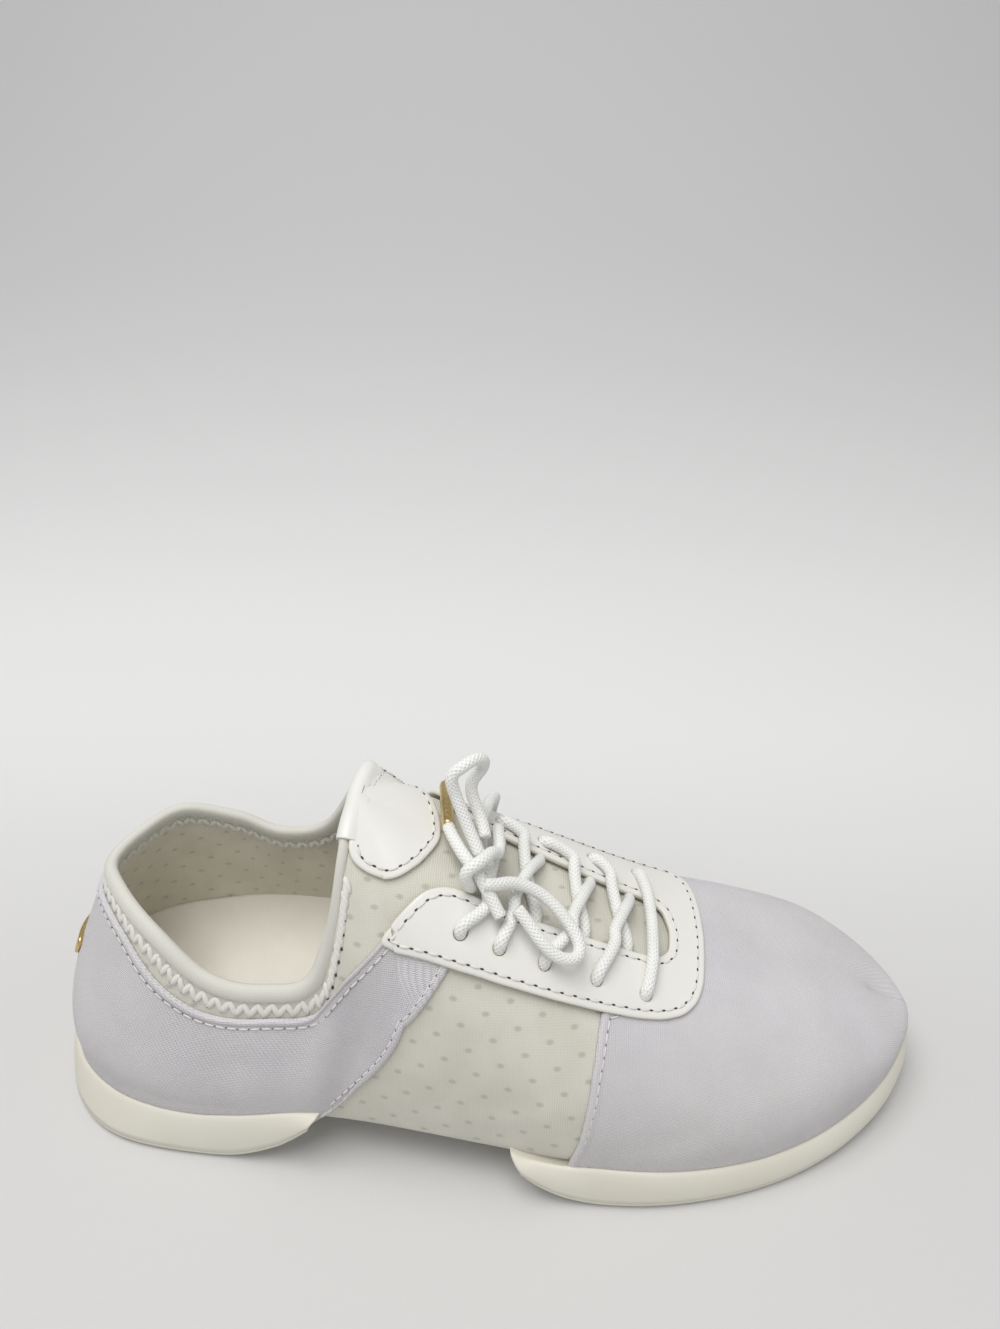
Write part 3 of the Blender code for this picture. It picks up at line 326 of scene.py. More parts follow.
def skin(q, across, height=0.0):
    """Places over the last by station and distance across the ridge or collar edge (inner side positive)."""
    q, across = np.broadcast_arrays(np.asarray(q, float), np.asarray(across, float))
    return on_last(np.where(across < 0, q, ROUND - q), np.abs(across), height)


SEARCH_BLOCK = 400       # places looked up at once
SEARCH_ROUNDS = 8        # steps that close in on each place


def find_on_last(targets, axes, keep):
    """Station and distance down of the places whose two axes match the targets, among the chart's kept part."""
    coarse_i = np.arange(0, len(LAST), 5)
    coarse_j = np.arange(0, LAST.shape[1], 4)
    net = LAST[np.ix_(coarse_i, coarse_j)]
    turn, down = np.meshgrid(coarse_i * TURN_STEP, coarse_j * DOWN_STEP, indexing="ij")
    good = keep(turn, down, net)
    flat, turn, down = net[good][:, axes], turn[good], down[good]
    found = np.empty((len(targets), 2))
    for k in range(0, len(targets), SEARCH_BLOCK):
        gaps = ((targets[k:k + SEARCH_BLOCK, None] - flat[None]) ** 2).sum(-1)
        best = gaps.argmin(1)
        found[k:k + SEARCH_BLOCK] = np.stack([turn[best], down[best]], -1)
    for _ in range(SEARCH_ROUNDS):
        here = on_last(found[:, 0], found[:, 1])[:, axes]
        by_turn = (on_last(found[:, 0] + 0.04, found[:, 1])[:, axes] - here) / 0.04
        by_down = (on_last(found[:, 0], found[:, 1] + 0.5)[:, axes] - here) / 0.5
        miss = targets - here
        det = by_turn[:, 0] * by_down[:, 1] - by_turn[:, 1] * by_down[:, 0]
        det = np.where(np.abs(det) < 1e-6, 1e-6, det)
        step_turn = (miss[:, 0] * by_down[:, 1] - miss[:, 1] * by_down[:, 0]) / det
        step_down = (by_turn[:, 0] * miss[:, 1] - by_turn[:, 1] * miss[:, 0]) / det
        found += np.clip(np.stack([step_turn, step_down], -1), (-0.3, -4.0), (0.3, 4.0))
        crossed = found[:, 1] < 0
        found[crossed, 0] = ROUND - found[crossed, 0]
        found[:, 1] = np.abs(found[:, 1])
        found[:, 0] = np.clip(found[:, 0], 0.0, ROUND)
    return found[:, 0], found[:, 1]


# Making meshes

def to_metres(points):
    return (np.asarray(points, float) - MIDDLE) * MM


def new_piece(name, verts, faces, material, replaced=(), uvs=None, merge=True, outward=False):
    """A finished piece from points in millimetres; uvs gives one pair for each corner of each face."""
    mesh = bpy.data.meshes.new(name)
    mesh.from_pydata([tuple(v) for v in to_metres(verts)], [], [tuple(int(i) for i in f) for f in faces])
    if uvs is not None:
        mesh.uv_layers.new(name="UVMap").data.foreach_set("uv", np.asarray(uvs, np.float32).ravel())
    obj = bpy.data.objects.new(name, mesh)
    bpy.context.collection.objects.link(obj)
    if merge:
        bm = bmesh.new()
        bm.from_mesh(mesh)
        bmesh.ops.remove_doubles(bm, verts=bm.verts, dist=1e-6)
        bmesh.ops.dissolve_degenerate(bm, edges=bm.edges, dist=1e-7)
        if outward:
            bmesh.ops.recalc_face_normals(bm, faces=bm.faces)
        bm.to_mesh(mesh)
        bm.free()
    mesh.polygons.foreach_set("use_smooth", [True] * len(mesh.polygons))
    mesh.materials.append(material)
    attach(obj, "root")
    if replaced:
        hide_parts(*replaced)
    return obj


def grid_faces(rows, columns, first=0, flip=False):
    i, j = np.meshgrid(np.arange(rows - 1), np.arange(columns - 1), indexing="ij")
    a = (first + i * columns + j).ravel()
    quads = np.stack([a, a + 1, a + columns + 1, a + columns], -1)
    return quads[:, ::-1] if flip else quads


def shell(name, top, low, uv, material, replaced, round_ways=(False, False), joined_first=False):
    """A closed piece between two grids of points, with edges where the grid doesn't close on itself."""
    rows, columns = top.shape[:2]
    count = rows * columns
    faces = [grid_faces(rows, columns), grid_faces(rows, columns, count, flip=True)]
    index = np.arange(count).reshape(rows, columns)
    edges = []
    if not round_ways[1]:
        edges += [index[:, -1]] if joined_first else [index[:, 0][::-1], index[:, -1]]
    if not round_ways[0]:
        edges += [index[0], index[-1][::-1]]
    for edge in edges:
        below = edge + count
        faces.append(np.stack([edge[1:], edge[:-1], below[:-1], below[1:]], -1))
    faces = np.concatenate(faces)
    verts = np.concatenate([top.reshape(-1, 3), low.reshape(-1, 3)])
    new_piece(name, verts, faces, material, replaced, uvs=uv.reshape(-1, 2)[faces % count])


def grid_piece(name, rings, uv, material, replaced, flip=False, outward=False):
    """A piece from one grid of points that closes on itself."""
    faces = grid_faces(*rings.shape[:2], flip=flip)
    return new_piece(name, rings.reshape(-1, 3), faces, material, replaced,
                     uvs=uv.reshape(-1, 2)[faces], outward=outward)


def tube(name, path, radius, material, replaced, sides=14):
    """A closed tube along points, with UVs in millimetres along and round it."""
    path = np.asarray(path, float)
    radius = np.broadcast_to(np.asarray(radius, float), (len(path),))
    ahead = unit(np.gradient(path, axis=0))
    across = unit(np.cross(ahead[0], (0.0, 0.0, 1.0)))
    a = np.linspace(0, 2 * math.pi, sides + 1)[:, None]
    rings = [np.broadcast_to(path[0], (sides + 1, 3))]
    for k in range(len(path)):
        across = unit(across - ahead[k] * across.dot(ahead[k]))
        rings.append(path[k] + radius[k] * (np.cos(a) * across + np.sin(a) * np.cross(across, ahead[k])))
    rings.append(np.broadcast_to(path[-1], (sides + 1, 3)))
    run = np.pad(lengths(path), 1, mode="edge")
    uv = np.stack(np.broadcast_arrays(run[:, None], np.linspace(0, math.pi * LACE, sides + 1)[None]), -1)
    return grid_piece(name, np.array(rings), uv, material, replaced)


def through(stops, step):
    """Even points on a smooth curve through a few places."""
    stops = np.asarray(stops, float)
    dense = smooth_row(stops, np.linspace(0, len(stops) - 1, 40 * (len(stops) - 1) + 1), False)
    run = lengths(dense)
    return read_at(np.linspace(0, run[-1], max(int(round(run[-1] / step)), 3) + 1), run, dense)


def relaxed(points, soft):
    """The same open line with its small kinks eased out; soft is in steps."""
    width = int(3 * soft)
    padded = np.concatenate([2 * points[0] - points[width:0:-1], points, 2 * points[-1] - points[-2:-width - 2:-1]])
    kernel = bell(width, soft)
    return np.stack([np.convolve(padded[:, k], kernel, "valid") for k in range(points.shape[1])], -1)


def softened(points, step, soft):
    """A closed outline with even points and rounded corners."""
    loop = np.vstack([points, points[:1]])
    run = lengths(loop)
    out = read_at(np.linspace(0, run[-1], int(run[-1] / step), endpoint=False), run, loop)
    width = int(3 * soft / step)
    return sum(k * np.roll(out, s, axis=0) for k, s in zip(bell(width, soft / step), range(-width, width + 1)))


def inside(points, loop):
    """Which points lie inside a closed outline."""
    x, y = points[:, 0, None], points[:, 1, None]
    x0, y0 = loop[:, 0], loop[:, 1]
    x1, y1 = np.roll(x0, -1), np.roll(y0, -1)
    crosses = ((y0 > y) != (y1 > y)) & (x < (x1 - x0) * (y - y0) / (y1 - y0 + 1e-12) + x0)
    return crosses.sum(1) % 2 == 1


def within(points, outline, holes):
    """Which points lie inside an outline and outside its holes."""
    kept = inside(points, outline)
    for hole in holes:
        kept &= ~inside(points, hole)
    return kept


# Rings of a sheet's edge: distance in from it, drop of the face, how far it shows the raw edge
ROUNDED_EDGE = ((0.0, 0.42, 1.0), (0.18, 0.18, 0.9), (0.45, 0.05, 0.55), (0.95, 0.0, 0.0))
ROW_STEP = 0.87          # height of a row of near equal triangles, in steps


def cut_sheet(name, outline, holes, axes, keep, low, high, edge_round, step, material, replaced):
    """A sheet laid on the last: an outline with holes, seen along two axes, given thickness and rounded edges."""
    plans, heights, shares, borders = [], [], [], []
    for loop in [outline] + holes:
        turn, down = find_on_last(loop, axes, keep)
        place = on_last(turn, down)
        ahead = unit(np.roll(place, -1, 0) - np.roll(place, 1, 0))
        inward = unit(np.cross(normal_on_last(turn, down), ahead))[:, axes]
        middle = loop.mean(0)
        facing = ((loop + inward * 0.5 - middle) ** 2).sum() < ((loop - middle) ** 2).sum()
        if facing != (loop is outline):
            inward = -inward
        ring = np.arange(len(loop)) + sum(len(plan) for plan in plans)
        borders.append(np.stack([ring, np.roll(ring, -1)], -1))
        for inset, drop, share in ROUNDED_EDGE:
            plans.append(loop + inward * inset * edge_round)
            heights.append(np.full(len(loop), high - drop * edge_round))
            shares.append(np.full(len(loop), share))
    xs, ys = (np.arange(outline[:, k].min(), outline[:, k].max(), step * (1.0, ROW_STEP)[k]) for k in (0, 1))
    net = np.array([(x + (0.5 * step if row % 2 else 0.0), y) for row, y in enumerate(ys) for x in xs])
    net = net[within(net, outline, holes)]
    border = np.concatenate(plans)
    net = net[np.array([((border - p) ** 2).sum(1).min() for p in net]) > (0.75 * step) ** 2]
    height = np.concatenate([*heights, np.full(len(net), float(high))])
    share = np.concatenate([*shares, np.zeros(len(net))])
    flat = delaunay_2d_cdt([Vector(p) for p in np.concatenate([border, net])],
                           [tuple(map(int, e)) for e in np.concatenate(borders)], [], 0, 1e-5)
    plan, faces = np.array([tuple(v) for v in flat[0]]), np.array(flat[2])
    source = np.array([o[0] if o else 0 for o in flat[3]])
    faces = faces[within(plan[faces].mean(1), outline, holes)]
    area = np.cross(plan[faces[:, 1]] - plan[faces[:, 0]], plan[faces[:, 2]] - plan[faces[:, 0]])
    faces = faces[np.abs(area) > 1e-7]
    turn, down = find_on_last(plan, axes, keep)
    top, base = on_last(turn, down, height[source]), on_last(turn, down, low)
    a, b, c = top[faces[0]]
    if np.cross(b - a, c - a).dot(normal_on_last(turn[faces[0, 0]], down[faces[0, 0]])) < 0:
        faces = faces[:, ::-1]
    count = len(plan)
    directed = dict.fromkeys((f[k], f[(k + 1) % 3]) for f in faces for k in range(3))
    walls = [(b, a, a + count, b + count) for a, b in directed if (b, a) not in directed]
    all_faces = [tuple(f) for f in faces] + [tuple(f[::-1] + count) for f in faces] + walls
    uvs = [plan[i % count] for f in all_faces for i in f]
    piece = new_piece(name, np.concatenate([top, base]), all_faces, material, replaced, uvs, merge=False)
    values = np.concatenate([share[source], np.ones(count)]).astype(np.float32)
    piece.data.attributes.new("edge", "FLOAT", "POINT").data.foreach_set("value", values)


def above_side(turn, down, net):
    """The part of the chart that a view from above meets: not the underside, and not the heel."""
    return (net[..., 2] > 22.0) & (down < side_length(turn) - 1.0)


def heel_back(turn, down, net):
    return (net[..., 0] < 40.0) & (down < side_length(turn) - 1.0)


# Materials

def new_group(name, inputs, outputs):
    """An empty shader node group with named inputs (name, kind, value) and outputs (name, kind)."""
    group = bpy.data.node_groups.new(name, "ShaderNodeTree")
    for label, kind, value in inputs:
        socket = group.interface.new_socket(label, in_out="INPUT", socket_type=kind)
        if value is not None:
            socket.default_value = value
    for label, kind in outputs:
        group.interface.new_socket(label, in_out="OUTPUT", socket_type=kind)
    return group, group.nodes.new("NodeGroupInput"), group.nodes.new("NodeGroupOutput")


def give(tree, socket, value):
    """Links a socket to a value, or sets it to a number."""
    if isinstance(value, bpy.types.NodeSocket):
        tree.links.new(value, socket)
    elif value is not None:
        socket.default_value = value


def math_node(tree, operation, a, b=None):
    """One Math node; each operand is a socket or a number."""
    node = tree.nodes.new("ShaderNodeMath")
    node.operation = operation
    for socket, value in zip(node.inputs, (a, b)):
        give(tree, socket, value)
    return node.outputs[0]


def times(tree, a, b):
    return math_node(tree, "MULTIPLY", a, b)


def split(tree, vector):
    node = tree.nodes.new("ShaderNodeSeparateXYZ")
    tree.links.new(vector, node.inputs[0])
    return node.outputs[0], node.outputs[1], node.outputs[2]


def noise(tree, vector, scale, detail=2.0, roughness=0.5):
    node = tree.nodes.new("ShaderNodeTexNoise")
    node.inputs["Scale"].default_value = scale
    node.inputs["Detail"].default_value = detail
    node.inputs["Roughness"].default_value = roughness
    tree.links.new(vector, node.inputs["Vector"])
    return node.outputs["Fac"]


def remap(tree, value, low, high, to_low=0.0, to_high=1.0):
    node = tree.nodes.new("ShaderNodeMapRange")
    node.interpolation_type = "SMOOTHSTEP"
    tree.links.new(value, node.inputs["Value"])
    for label, number in (("From Min", low), ("From Max", high), ("To Min", to_low), ("To Max", to_high)):
        node.inputs[label].default_value = number
    return node.outputs["Result"]


def blend_colours(tree, factor, first, second):
    node = tree.nodes.new("ShaderNodeMix")
    node.data_type = "RGBA"
    for index, value in ((0, factor), (6, first), (7, second)):
        give(tree, node.inputs[index], (*value, 1.0) if isinstance(value, tuple) else value)
    return node.outputs[2]


def plain_weave_group():
    """Plain weave on UVs in millimetres: the height of the threads, and the gaps between them."""
    group, given, out = new_group(
        "plain_weave", [("UV", "NodeSocketVector", None), ("Thread", "NodeSocketFloat", 1.0)],
        [("Height", "NodeSocketFloat"), ("Gaps", "NodeSocketFloat")])
    waves = []
    for value in split(group, given.outputs["UV"])[:2]:
        turns = math_node(group, "DIVIDE", value, given.outputs["Thread"])
        waves.append(math_node(group, "SINE", times(group, turns, math.pi)))
    warp, weft = (math_node(group, "ABSOLUTE", wave) for wave in waves)
    over = remap(group, times(group, *waves), -0.25, 0.25)
    under = math_node(group, "SUBTRACT", 1.0, over)
    height = math_node(group, "ADD", times(group, warp, over), times(group, weft, under))
    gaps = math_node(group, "SUBTRACT", 1.0, times(group, warp, weft))
    group.links.new(height, out.inputs["Height"])
    group.links.new(math_node(group, "POWER", gaps, 4.0), out.inputs["Gaps"])
    return group


def mottle_group():
    """Slow, cloudy change over a surface, from Object coordinates: wear, handling and dye that isn't quite even."""
    group, given, out = new_group("mottle", [("Size", "NodeSocketFloat", 0.02)], [("Value", "NodeSocketFloat")])
    place = group.nodes.new("ShaderNodeTexCoord").outputs["Object"]
    scaled = group.nodes.new("ShaderNodeVectorMath")
    scaled.operation = "DIVIDE"
    group.links.new(place, scaled.inputs[0])
    group.links.new(given.outputs["Size"], scaled.inputs[1])
    group.links.new(remap(group, noise(group, scaled.outputs[0], 1.0, 3.0), 0.3, 0.7), out.inputs["Value"])
    return group


DOT_PERIOD = 15.6        # along a row of dots
DOT_ROWS = 3.8           # from row to row
DOT_SHIFT = 6.7          # how far each row stands ahead of the one below
RIB = 0.62               # width of a rib of the knit
COURSE = 0.8             # height of a row of its stitches
CANVAS_THREAD_STEP = 0.62
STRAND = 1.3             # width of a strand of the lace's braid


def dots_group():
    """Soft perforations of the knit on UVs in millimetres: rows that each stand a little ahead of the one below."""
    group, given, out = new_group("knit_dots", [("UV", "NodeSocketVector", None)], [("Dots", "NodeSocketFloat")])
    u, v, _ = split(group, given.outputs["UV"])
    row = math_node(group, "ROUND", math_node(group, "DIVIDE", v, DOT_ROWS))
    across = math_node(group, "SUBTRACT", v, times(group, row, DOT_ROWS))
    shifted = math_node(group, "SUBTRACT", u, times(group, row, DOT_SHIFT))
    cell = math_node(group, "FRACT", math_node(group, "ADD", math_node(group, "DIVIDE", shifted, DOT_PERIOD), 0.5))
    along = times(group, math_node(group, "SUBTRACT", cell, 0.5), 0.75 * DOT_PERIOD)
    squares = [times(group, p, p) for p in (along, across)]
    away = math_node(group, "SQRT", math_node(group, "ADD", *squares))
    group.links.new(remap(group, away, 1.15, 0.35), out.inputs["Dots"])
    return group


WEAVE = plain_weave_group()
MOTTLE = mottle_group()
DOTS = dots_group()


def base_material(name, colour, roughness, metallic=0.0, sheen=0.0):
    material = bpy.data.materials.new(name)
    material.use_nodes = True
    shader = material.node_tree.nodes["Principled BSDF"]
    shader.inputs["Base Color"].default_value = (*colour, 1.0)
    shader.inputs["Roughness"].default_value = roughness
    shader.inputs["Metallic"].default_value = metallic
    shader.inputs["Sheen Weight"].default_value = sheen
    shader.inputs["Sheen Roughness"].default_value = 0.5
    shader.inputs["Specular IOR Level"].default_value = 0.3 if sheen else 0.5
    material.diffuse_color = (*colour, 1.0)
    return material, material.node_tree, shader


def placed(tree, group, **values):
    node = tree.nodes.new("ShaderNodeGroup")
    node.node_tree = group
    for label, value in values.items():
        give(tree, node.inputs[label], value)
    return node


def bump(tree, shader, height, strength, distance):
    node = tree.nodes.new("ShaderNodeBump")
    node.inputs["Strength"].default_value = strength
    node.inputs["Distance"].default_value = distance
    tree.links.new(height, node.inputs["Height"])
    tree.links.new(node.outputs["Normal"], shader.inputs["Normal"])


def uv_of(tree):
    return tree.nodes.new("ShaderNodeTexCoord").outputs["UV"]


def object_of(tree):
    return tree.nodes.new("ShaderNodeTexCoord").outputs["Object"]


def clouded(tree, colour, shade, size, amount):
    """A colour with slow, cloudy patches of a second one."""
    return blend_colours(tree, times(tree, placed(tree, MOTTLE, Size=size).outputs["Value"], amount), colour, shade)


def painted(material, tone, height, strength, distance):
    """The material with its colour and its fine relief."""
    tree = material.node_tree
    shader = tree.nodes["Principled BSDF"]
    tree.links.new(tone, shader.inputs["Base Color"])
    bump(tree, shader, height, strength, distance)
    return material


def knit_material(name, colour, dark, dot, ribs_only=False):
    """Neoprene faced with a fine ribbed knit, with soft perforations. The grooves between the ribs are darkened with
    painted shade, and the dot colour is painted shade inside the perforations.
    """
    material, tree, _ = base_material(name, colour, 0.88, sheen=0.25)
    uv = uv_of(tree)
    u, v, _ = split(tree, uv)
    wale = math_node(tree, "SINE", times(tree, u, 2 * math.pi / RIB))
    stitch = math_node(tree, "ADD", times(tree, v, 2 * math.pi / COURSE), times(tree, wale, 1.2))
    height = math_node(tree, "ADD", wale, times(tree, math_node(tree, "SINE", stitch), 0.35))
    tone = clouded(tree, colour, dark, 0.012, 0.35)
    # painted shade: the grooves between the ribs are blended toward the dark colour
    tone = blend_colours(tree, remap(tree, wale, -0.2, -1.0, 0.0, 0.18), tone, dark)
    if not ribs_only:
        dots = placed(tree, DOTS, UV=uv).outputs["Dots"]
        # painted shade: the perforations are filled with the dark dot colour, standing in for the shade inside the
        # holes
        tone = blend_colours(tree, times(tree, dots, 0.42), tone, dot)
        height = math_node(tree, "SUBTRACT", height, times(tree, dots, 2.0))
    return painted(material, tone, height, 0.3, 0.0002)


def canvas_material(name, colour, shade, stain):
    """Plain-woven cotton canvas."""
    material, tree, _ = base_material(name, colour, 0.9, sheen=0.2)
    weave = placed(tree, WEAVE, UV=uv_of(tree), Thread=CANVAS_THREAD_STEP)
    tone = clouded(tree, colour, shade, 0.018, 0.4)
    tone = clouded(tree, tone, stain, 0.045, 0.22)
    tone = blend_colours(tree, times(tree, weave.outputs["Gaps"], 0.62), tone, shade)
    return painted(material, tone, weave.outputs["Height"], 0.7, 0.0003)


def leather_material(name, colour, edge_colour):
    """Smooth coated leather with a fine grain, and its raw edge."""
    material, tree, shader = base_material(name, colour, 0.42)
    shader.inputs["Coat Weight"].default_value = 0.08
    shader.inputs["Coat Roughness"].default_value = 0.3
    grain = noise(tree, object_of(tree), 2600.0, 3.0)
    edge = tree.nodes.new("ShaderNodeAttribute")
    edge.attribute_name = "edge"
    tone = clouded(tree, colour, edge_colour, 0.015, 0.2)
    tone = blend_colours(tree, times(tree, edge.outputs["Fac"], 0.7), tone, edge_colour)
    tree.links.new(remap(tree, grain, 0.2, 0.8, 0.36, 0.5), shader.inputs["Roughness"])
    return painted(material, tone, grain, 0.12, 0.00015)


def foam_material(name, colour, shade, roughness=0.55):
    """Moulded foam with faint marks of handling."""
    material, tree, shader = base_material(name, colour, roughness)
    fine = noise(tree, object_of(tree), 1500.0, 2.0)
    tree.links.new(remap(tree, fine, 0.2, 0.8, roughness - 0.06, roughness + 0.08), shader.inputs["Roughness"])
    return painted(material, clouded(tree, colour, shade, 0.03, 0.5), fine, 0.1, 0.0002)


def suede_material(name, colour, shade):
    material, tree, _ = base_material(name, colour, 0.92, sheen=0.35)
    nap = noise(tree, object_of(tree), 1900.0, 4.0, 0.7)
    tone = clouded(tree, colour, shade, 0.02, 0.5)
    tone = blend_colours(tree, remap(tree, nap, 0.35, 0.7, 0.0, 0.2), tone, shade)
    return painted(material, tone, nap, 0.35, 0.0003)


def lace_material(name, colour, shade):
    """Braided cotton lace: two sets of strands crossing round the cord, on UVs along and round it."""
    material, tree, _ = base_material(name, colour, 0.85, sheen=0.25)
    u, v, _ = split(tree, uv_of(tree))
    strands = [math_node(tree, "SINE", times(tree, math_node(tree, way, u, v), 2 * math.pi / STRAND))
               for way in ("ADD", "SUBTRACT")]
    height = math_node(tree, "MAXIMUM", *strands)
    tone = blend_colours(tree, remap(tree, height, 0.4, -0.6, 0.0, 0.5), colour, shade)
    return painted(material, clouded(tree, tone, shade, 0.008, 0.25), height, 0.5, 0.0003)


def thread_material(name, colour):
    material, tree, _ = base_material(name, colour, 0.7, sheen=0.2)
    twist = noise(tree, object_of(tree), 2400.0, 1.0)
    tone = blend_colours(tree, remap(tree, twist, 0.3, 0.7, 0.0, 0.25), colour, tuple(0.8 * c for c in colour))
    return painted(material, tone, twist, 0.3, 0.0002)


def brass_material(name, colour, shade):
    material, tree, shader = base_material(name, colour, 0.28, metallic=1.0)
    brushed = noise(tree, object_of(tree), 900.0, 3.0)
    tree.links.new(remap(tree, brushed, 0.3, 0.7, 0.2, 0.38), shader.inputs["Roughness"])
    return painted(material, clouded(tree, colour, shade, 0.006, 0.4), brushed, 0.06, 0.0001)


# For each knit the last colour is painted shade inside the perforations, and the second is both its mottle and the
# painted shade in the rib grooves
KNIT = knit_material("ribbed knit neoprene", (0.68, 0.665, 0.585), (0.54, 0.52, 0.44), (0.30, 0.29, 0.25))
KNIT_LINING = knit_material("grey lining knit", (0.8, 0.765, 0.65), (0.55, 0.52, 0.43), (0.36, 0.33, 0.26))
ROLL_KNIT = knit_material("smooth collar knit", (0.67, 0.66, 0.605), (0.66, 0.64, 0.57), (0.3, 0.3, 0.25),
                          ribs_only=True)
CANVAS_CLOTH = canvas_material("lavender white canvas", (0.72, 0.7, 0.725), (0.58, 0.56, 0.59), (0.66, 0.62, 0.54))
WHITE_LEATHER = leather_material("white coated leather", (0.79, 0.78, 0.745), (0.76, 0.73, 0.64))
CREAM_FOAM = foam_material("cream foam", (0.76, 0.74, 0.65), (0.70, 0.66, 0.56))
CREAM_TREAD = foam_material("cream rubber tread", (0.70, 0.68, 0.60), (0.62, 0.59, 0.51), 0.65)
SUEDE = suede_material("suede footbed", (0.84, 0.81, 0.73), (0.76, 0.73, 0.63))
COTTON_LACE = lace_material("braided white lace", (0.90, 0.90, 0.87), (0.74, 0.73, 0.69))
THREAD = thread_material("white thread", (0.76, 0.75, 0.7))
CANVAS_THREAD = thread_material("pale grey thread", (0.72, 0.7, 0.71))
# painted shade: near-black lozenges laid on the leather and the collar knit stand in for the shade inside needle
# holes
NEEDLE_HOLE_SHADE = thread_material("needle hole", (0.05, 0.045, 0.04))
# painted shade: dark grey lozenges laid on the canvas stand in for the shade inside its needle holes
CANVAS_HOLE_SHADE = thread_material("needle hole in canvas", (0.22, 0.2, 0.21))
BRASS = brass_material("polished brass", (0.72, 0.55, 0.25), (0.5, 0.38, 0.18))


# Camera, floor and light

CAMERA_PLACE = (158.295, -198.752, 280.666)
CAMERA_YAW, CAMERA_PITCH, CAMERA_ROLL = -0.067102, 0.569041, -0.005429
FOCAL_PIXELS = 941.31
IMAGE_HEIGHT = 1329.0


def add_camera():
    ahead = Vector((math.sin(CAMERA_YAW) * math.cos(CAMERA_PITCH), math.cos(CAMERA_YAW) * math.cos(CAMERA_PITCH),
                    -math.sin(CAMERA_PITCH)))
    right = Vector((math.cos(CAMERA_YAW), -math.sin(CAMERA_YAW), 0.0))
    up = right.cross(ahead)
    c, s = math.cos(CAMERA_ROLL), math.sin(CAMERA_ROLL)
    right, up = right * c + up * s, up * c - right * s
    bpy.ops.object.camera_add()
    camera = bpy.context.object
    camera.name = "camera"
    turn = Matrix((right, up, -ahead)).transposed()
    camera.matrix_world = Matrix.Translation(to_metres(CAMERA_PLACE)) @ turn.to_4x4()
    camera.data.sensor_width = 36.0
    camera.data.lens = 36.0 * FOCAL_PIXELS / IMAGE_HEIGHT
    camera.data.clip_start = 0.01
    camera.data.clip_end = 20.0
    bpy.context.scene.camera = camera


FLOOR_GREY = (0.62, 0.615, 0.605)
FLOOR_FIBRE = (0.55, 0.545, 0.535)
FLOOR_PAINTED_LIGHT = (0.76, 0.76, 0.755)
FLOOR_PAINTED_FALLOFF = (0.6, 0.6, 0.6)


def pick_back_edge(floor):
    """Selects the edge along the back of the floor."""
    bpy.ops.mesh.select_all(action="DESELECT")
    for edge in bmesh.from_edit_mesh(floor.data).edges:
        if all(v.co.y > 1.0 and v.co.z < 0.1 for v in edge.verts):
            edge.select_set(True)
    bmesh.update_edit_mesh(floor.data)


def add_floor():
    """Pale studio floor that curves up into a backdrop, with painted light: brighter in a band behind the shoe,
    darker in front and toward the back.
    """
    bpy.ops.object.select_all(action="DESELECT")
    bpy.ops.mesh.primitive_plane_add(size=1.0, location=(0.0, -0.4, 0.0))
    floor = bpy.context.object
    floor.name = "studio_floor"
    floor.scale = (7.0, 3.4, 1.0)
    bpy.ops.object.transform_apply(location=True, rotation=True, scale=True)
    bpy.ops.object.mode_set(mode="EDIT")
    bpy.ops.mesh.select_mode(type="EDGE")
    pick_back_edge(floor)
    bpy.ops.mesh.extrude_region_move(TRANSFORM_OT_translate={"value": (0.0, 0.0, 2.0)})
    pick_back_edge(floor)
    bpy.ops.mesh.bevel(offset=0.9, segments=24, affect="EDGES")
    bpy.ops.mesh.select_all(action="SELECT")
    bpy.ops.mesh.normals_make_consistent(inside=False)
    bpy.ops.object.mode_set(mode="OBJECT")
    bpy.ops.object.shade_smooth()
    material, tree, shader = base_material("studio paper", FLOOR_GREY, 0.8)
    fibre = noise(tree, object_of(tree), 700.0, 3.0)
    tone = blend_colours(tree, remap(tree, fibre, 0.3, 0.7, 0.0, 0.06), FLOOR_GREY, FLOOR_FIBRE)
    # painted light: the paper is painted brighter just behind the shoe and darker again toward the back and up the
    # backdrop, standing in for the falloff of the light
    away = split(tree, object_of(tree))[1]
    tone = blend_colours(tree, remap(tree, away, -0.02, 0.2, 0.0, 1.0), tone, FLOOR_PAINTED_LIGHT)
    tone = blend_colours(tree, remap(tree, away, 0.25, 0.9, 0.0, 1.0), tone, FLOOR_PAINTED_FALLOFF)
    tree.links.new(tone, shader.inputs["Base Color"])
    bump(tree, shader, fibre, 0.1, 0.0002)
    floor.data.materials.append(material)


def add_light(name, place, aim, size, power):
    bpy.ops.object.light_add(type="AREA", location=place)
    lamp = bpy.context.object
    lamp.name = name
    lamp.data.shape = "RECTANGLE"
    lamp.data.size, lamp.data.size_y = size
    lamp.data.energy = power
    lamp.rotation_euler = (Vector(aim) - Vector(place)).to_track_quat("-Z", "Y").to_euler()


def add_lights():
    world = bpy.data.worlds.new("studio")
    world.use_nodes = True
    world.node_tree.nodes["Background"].inputs["Color"].default_value = (1.0, 1.0, 1.0, 1.0)
    world.node_tree.nodes["Background"].inputs["Strength"].default_value = 0.47
    bpy.context.scene.world = world
    bpy.context.scene.view_settings.view_transform = "Standard"
    add_light("softbox_above", (-0.2, -0.15, 1.4), (0.0, 0.0, 0.0), (1.1, 0.8), 14.5)
    add_light("softbox_front", (0.6, -1.1, 0.7), (0.0, 0.0, 0.05), (0.9, 0.7), 1.0)


# The bootie

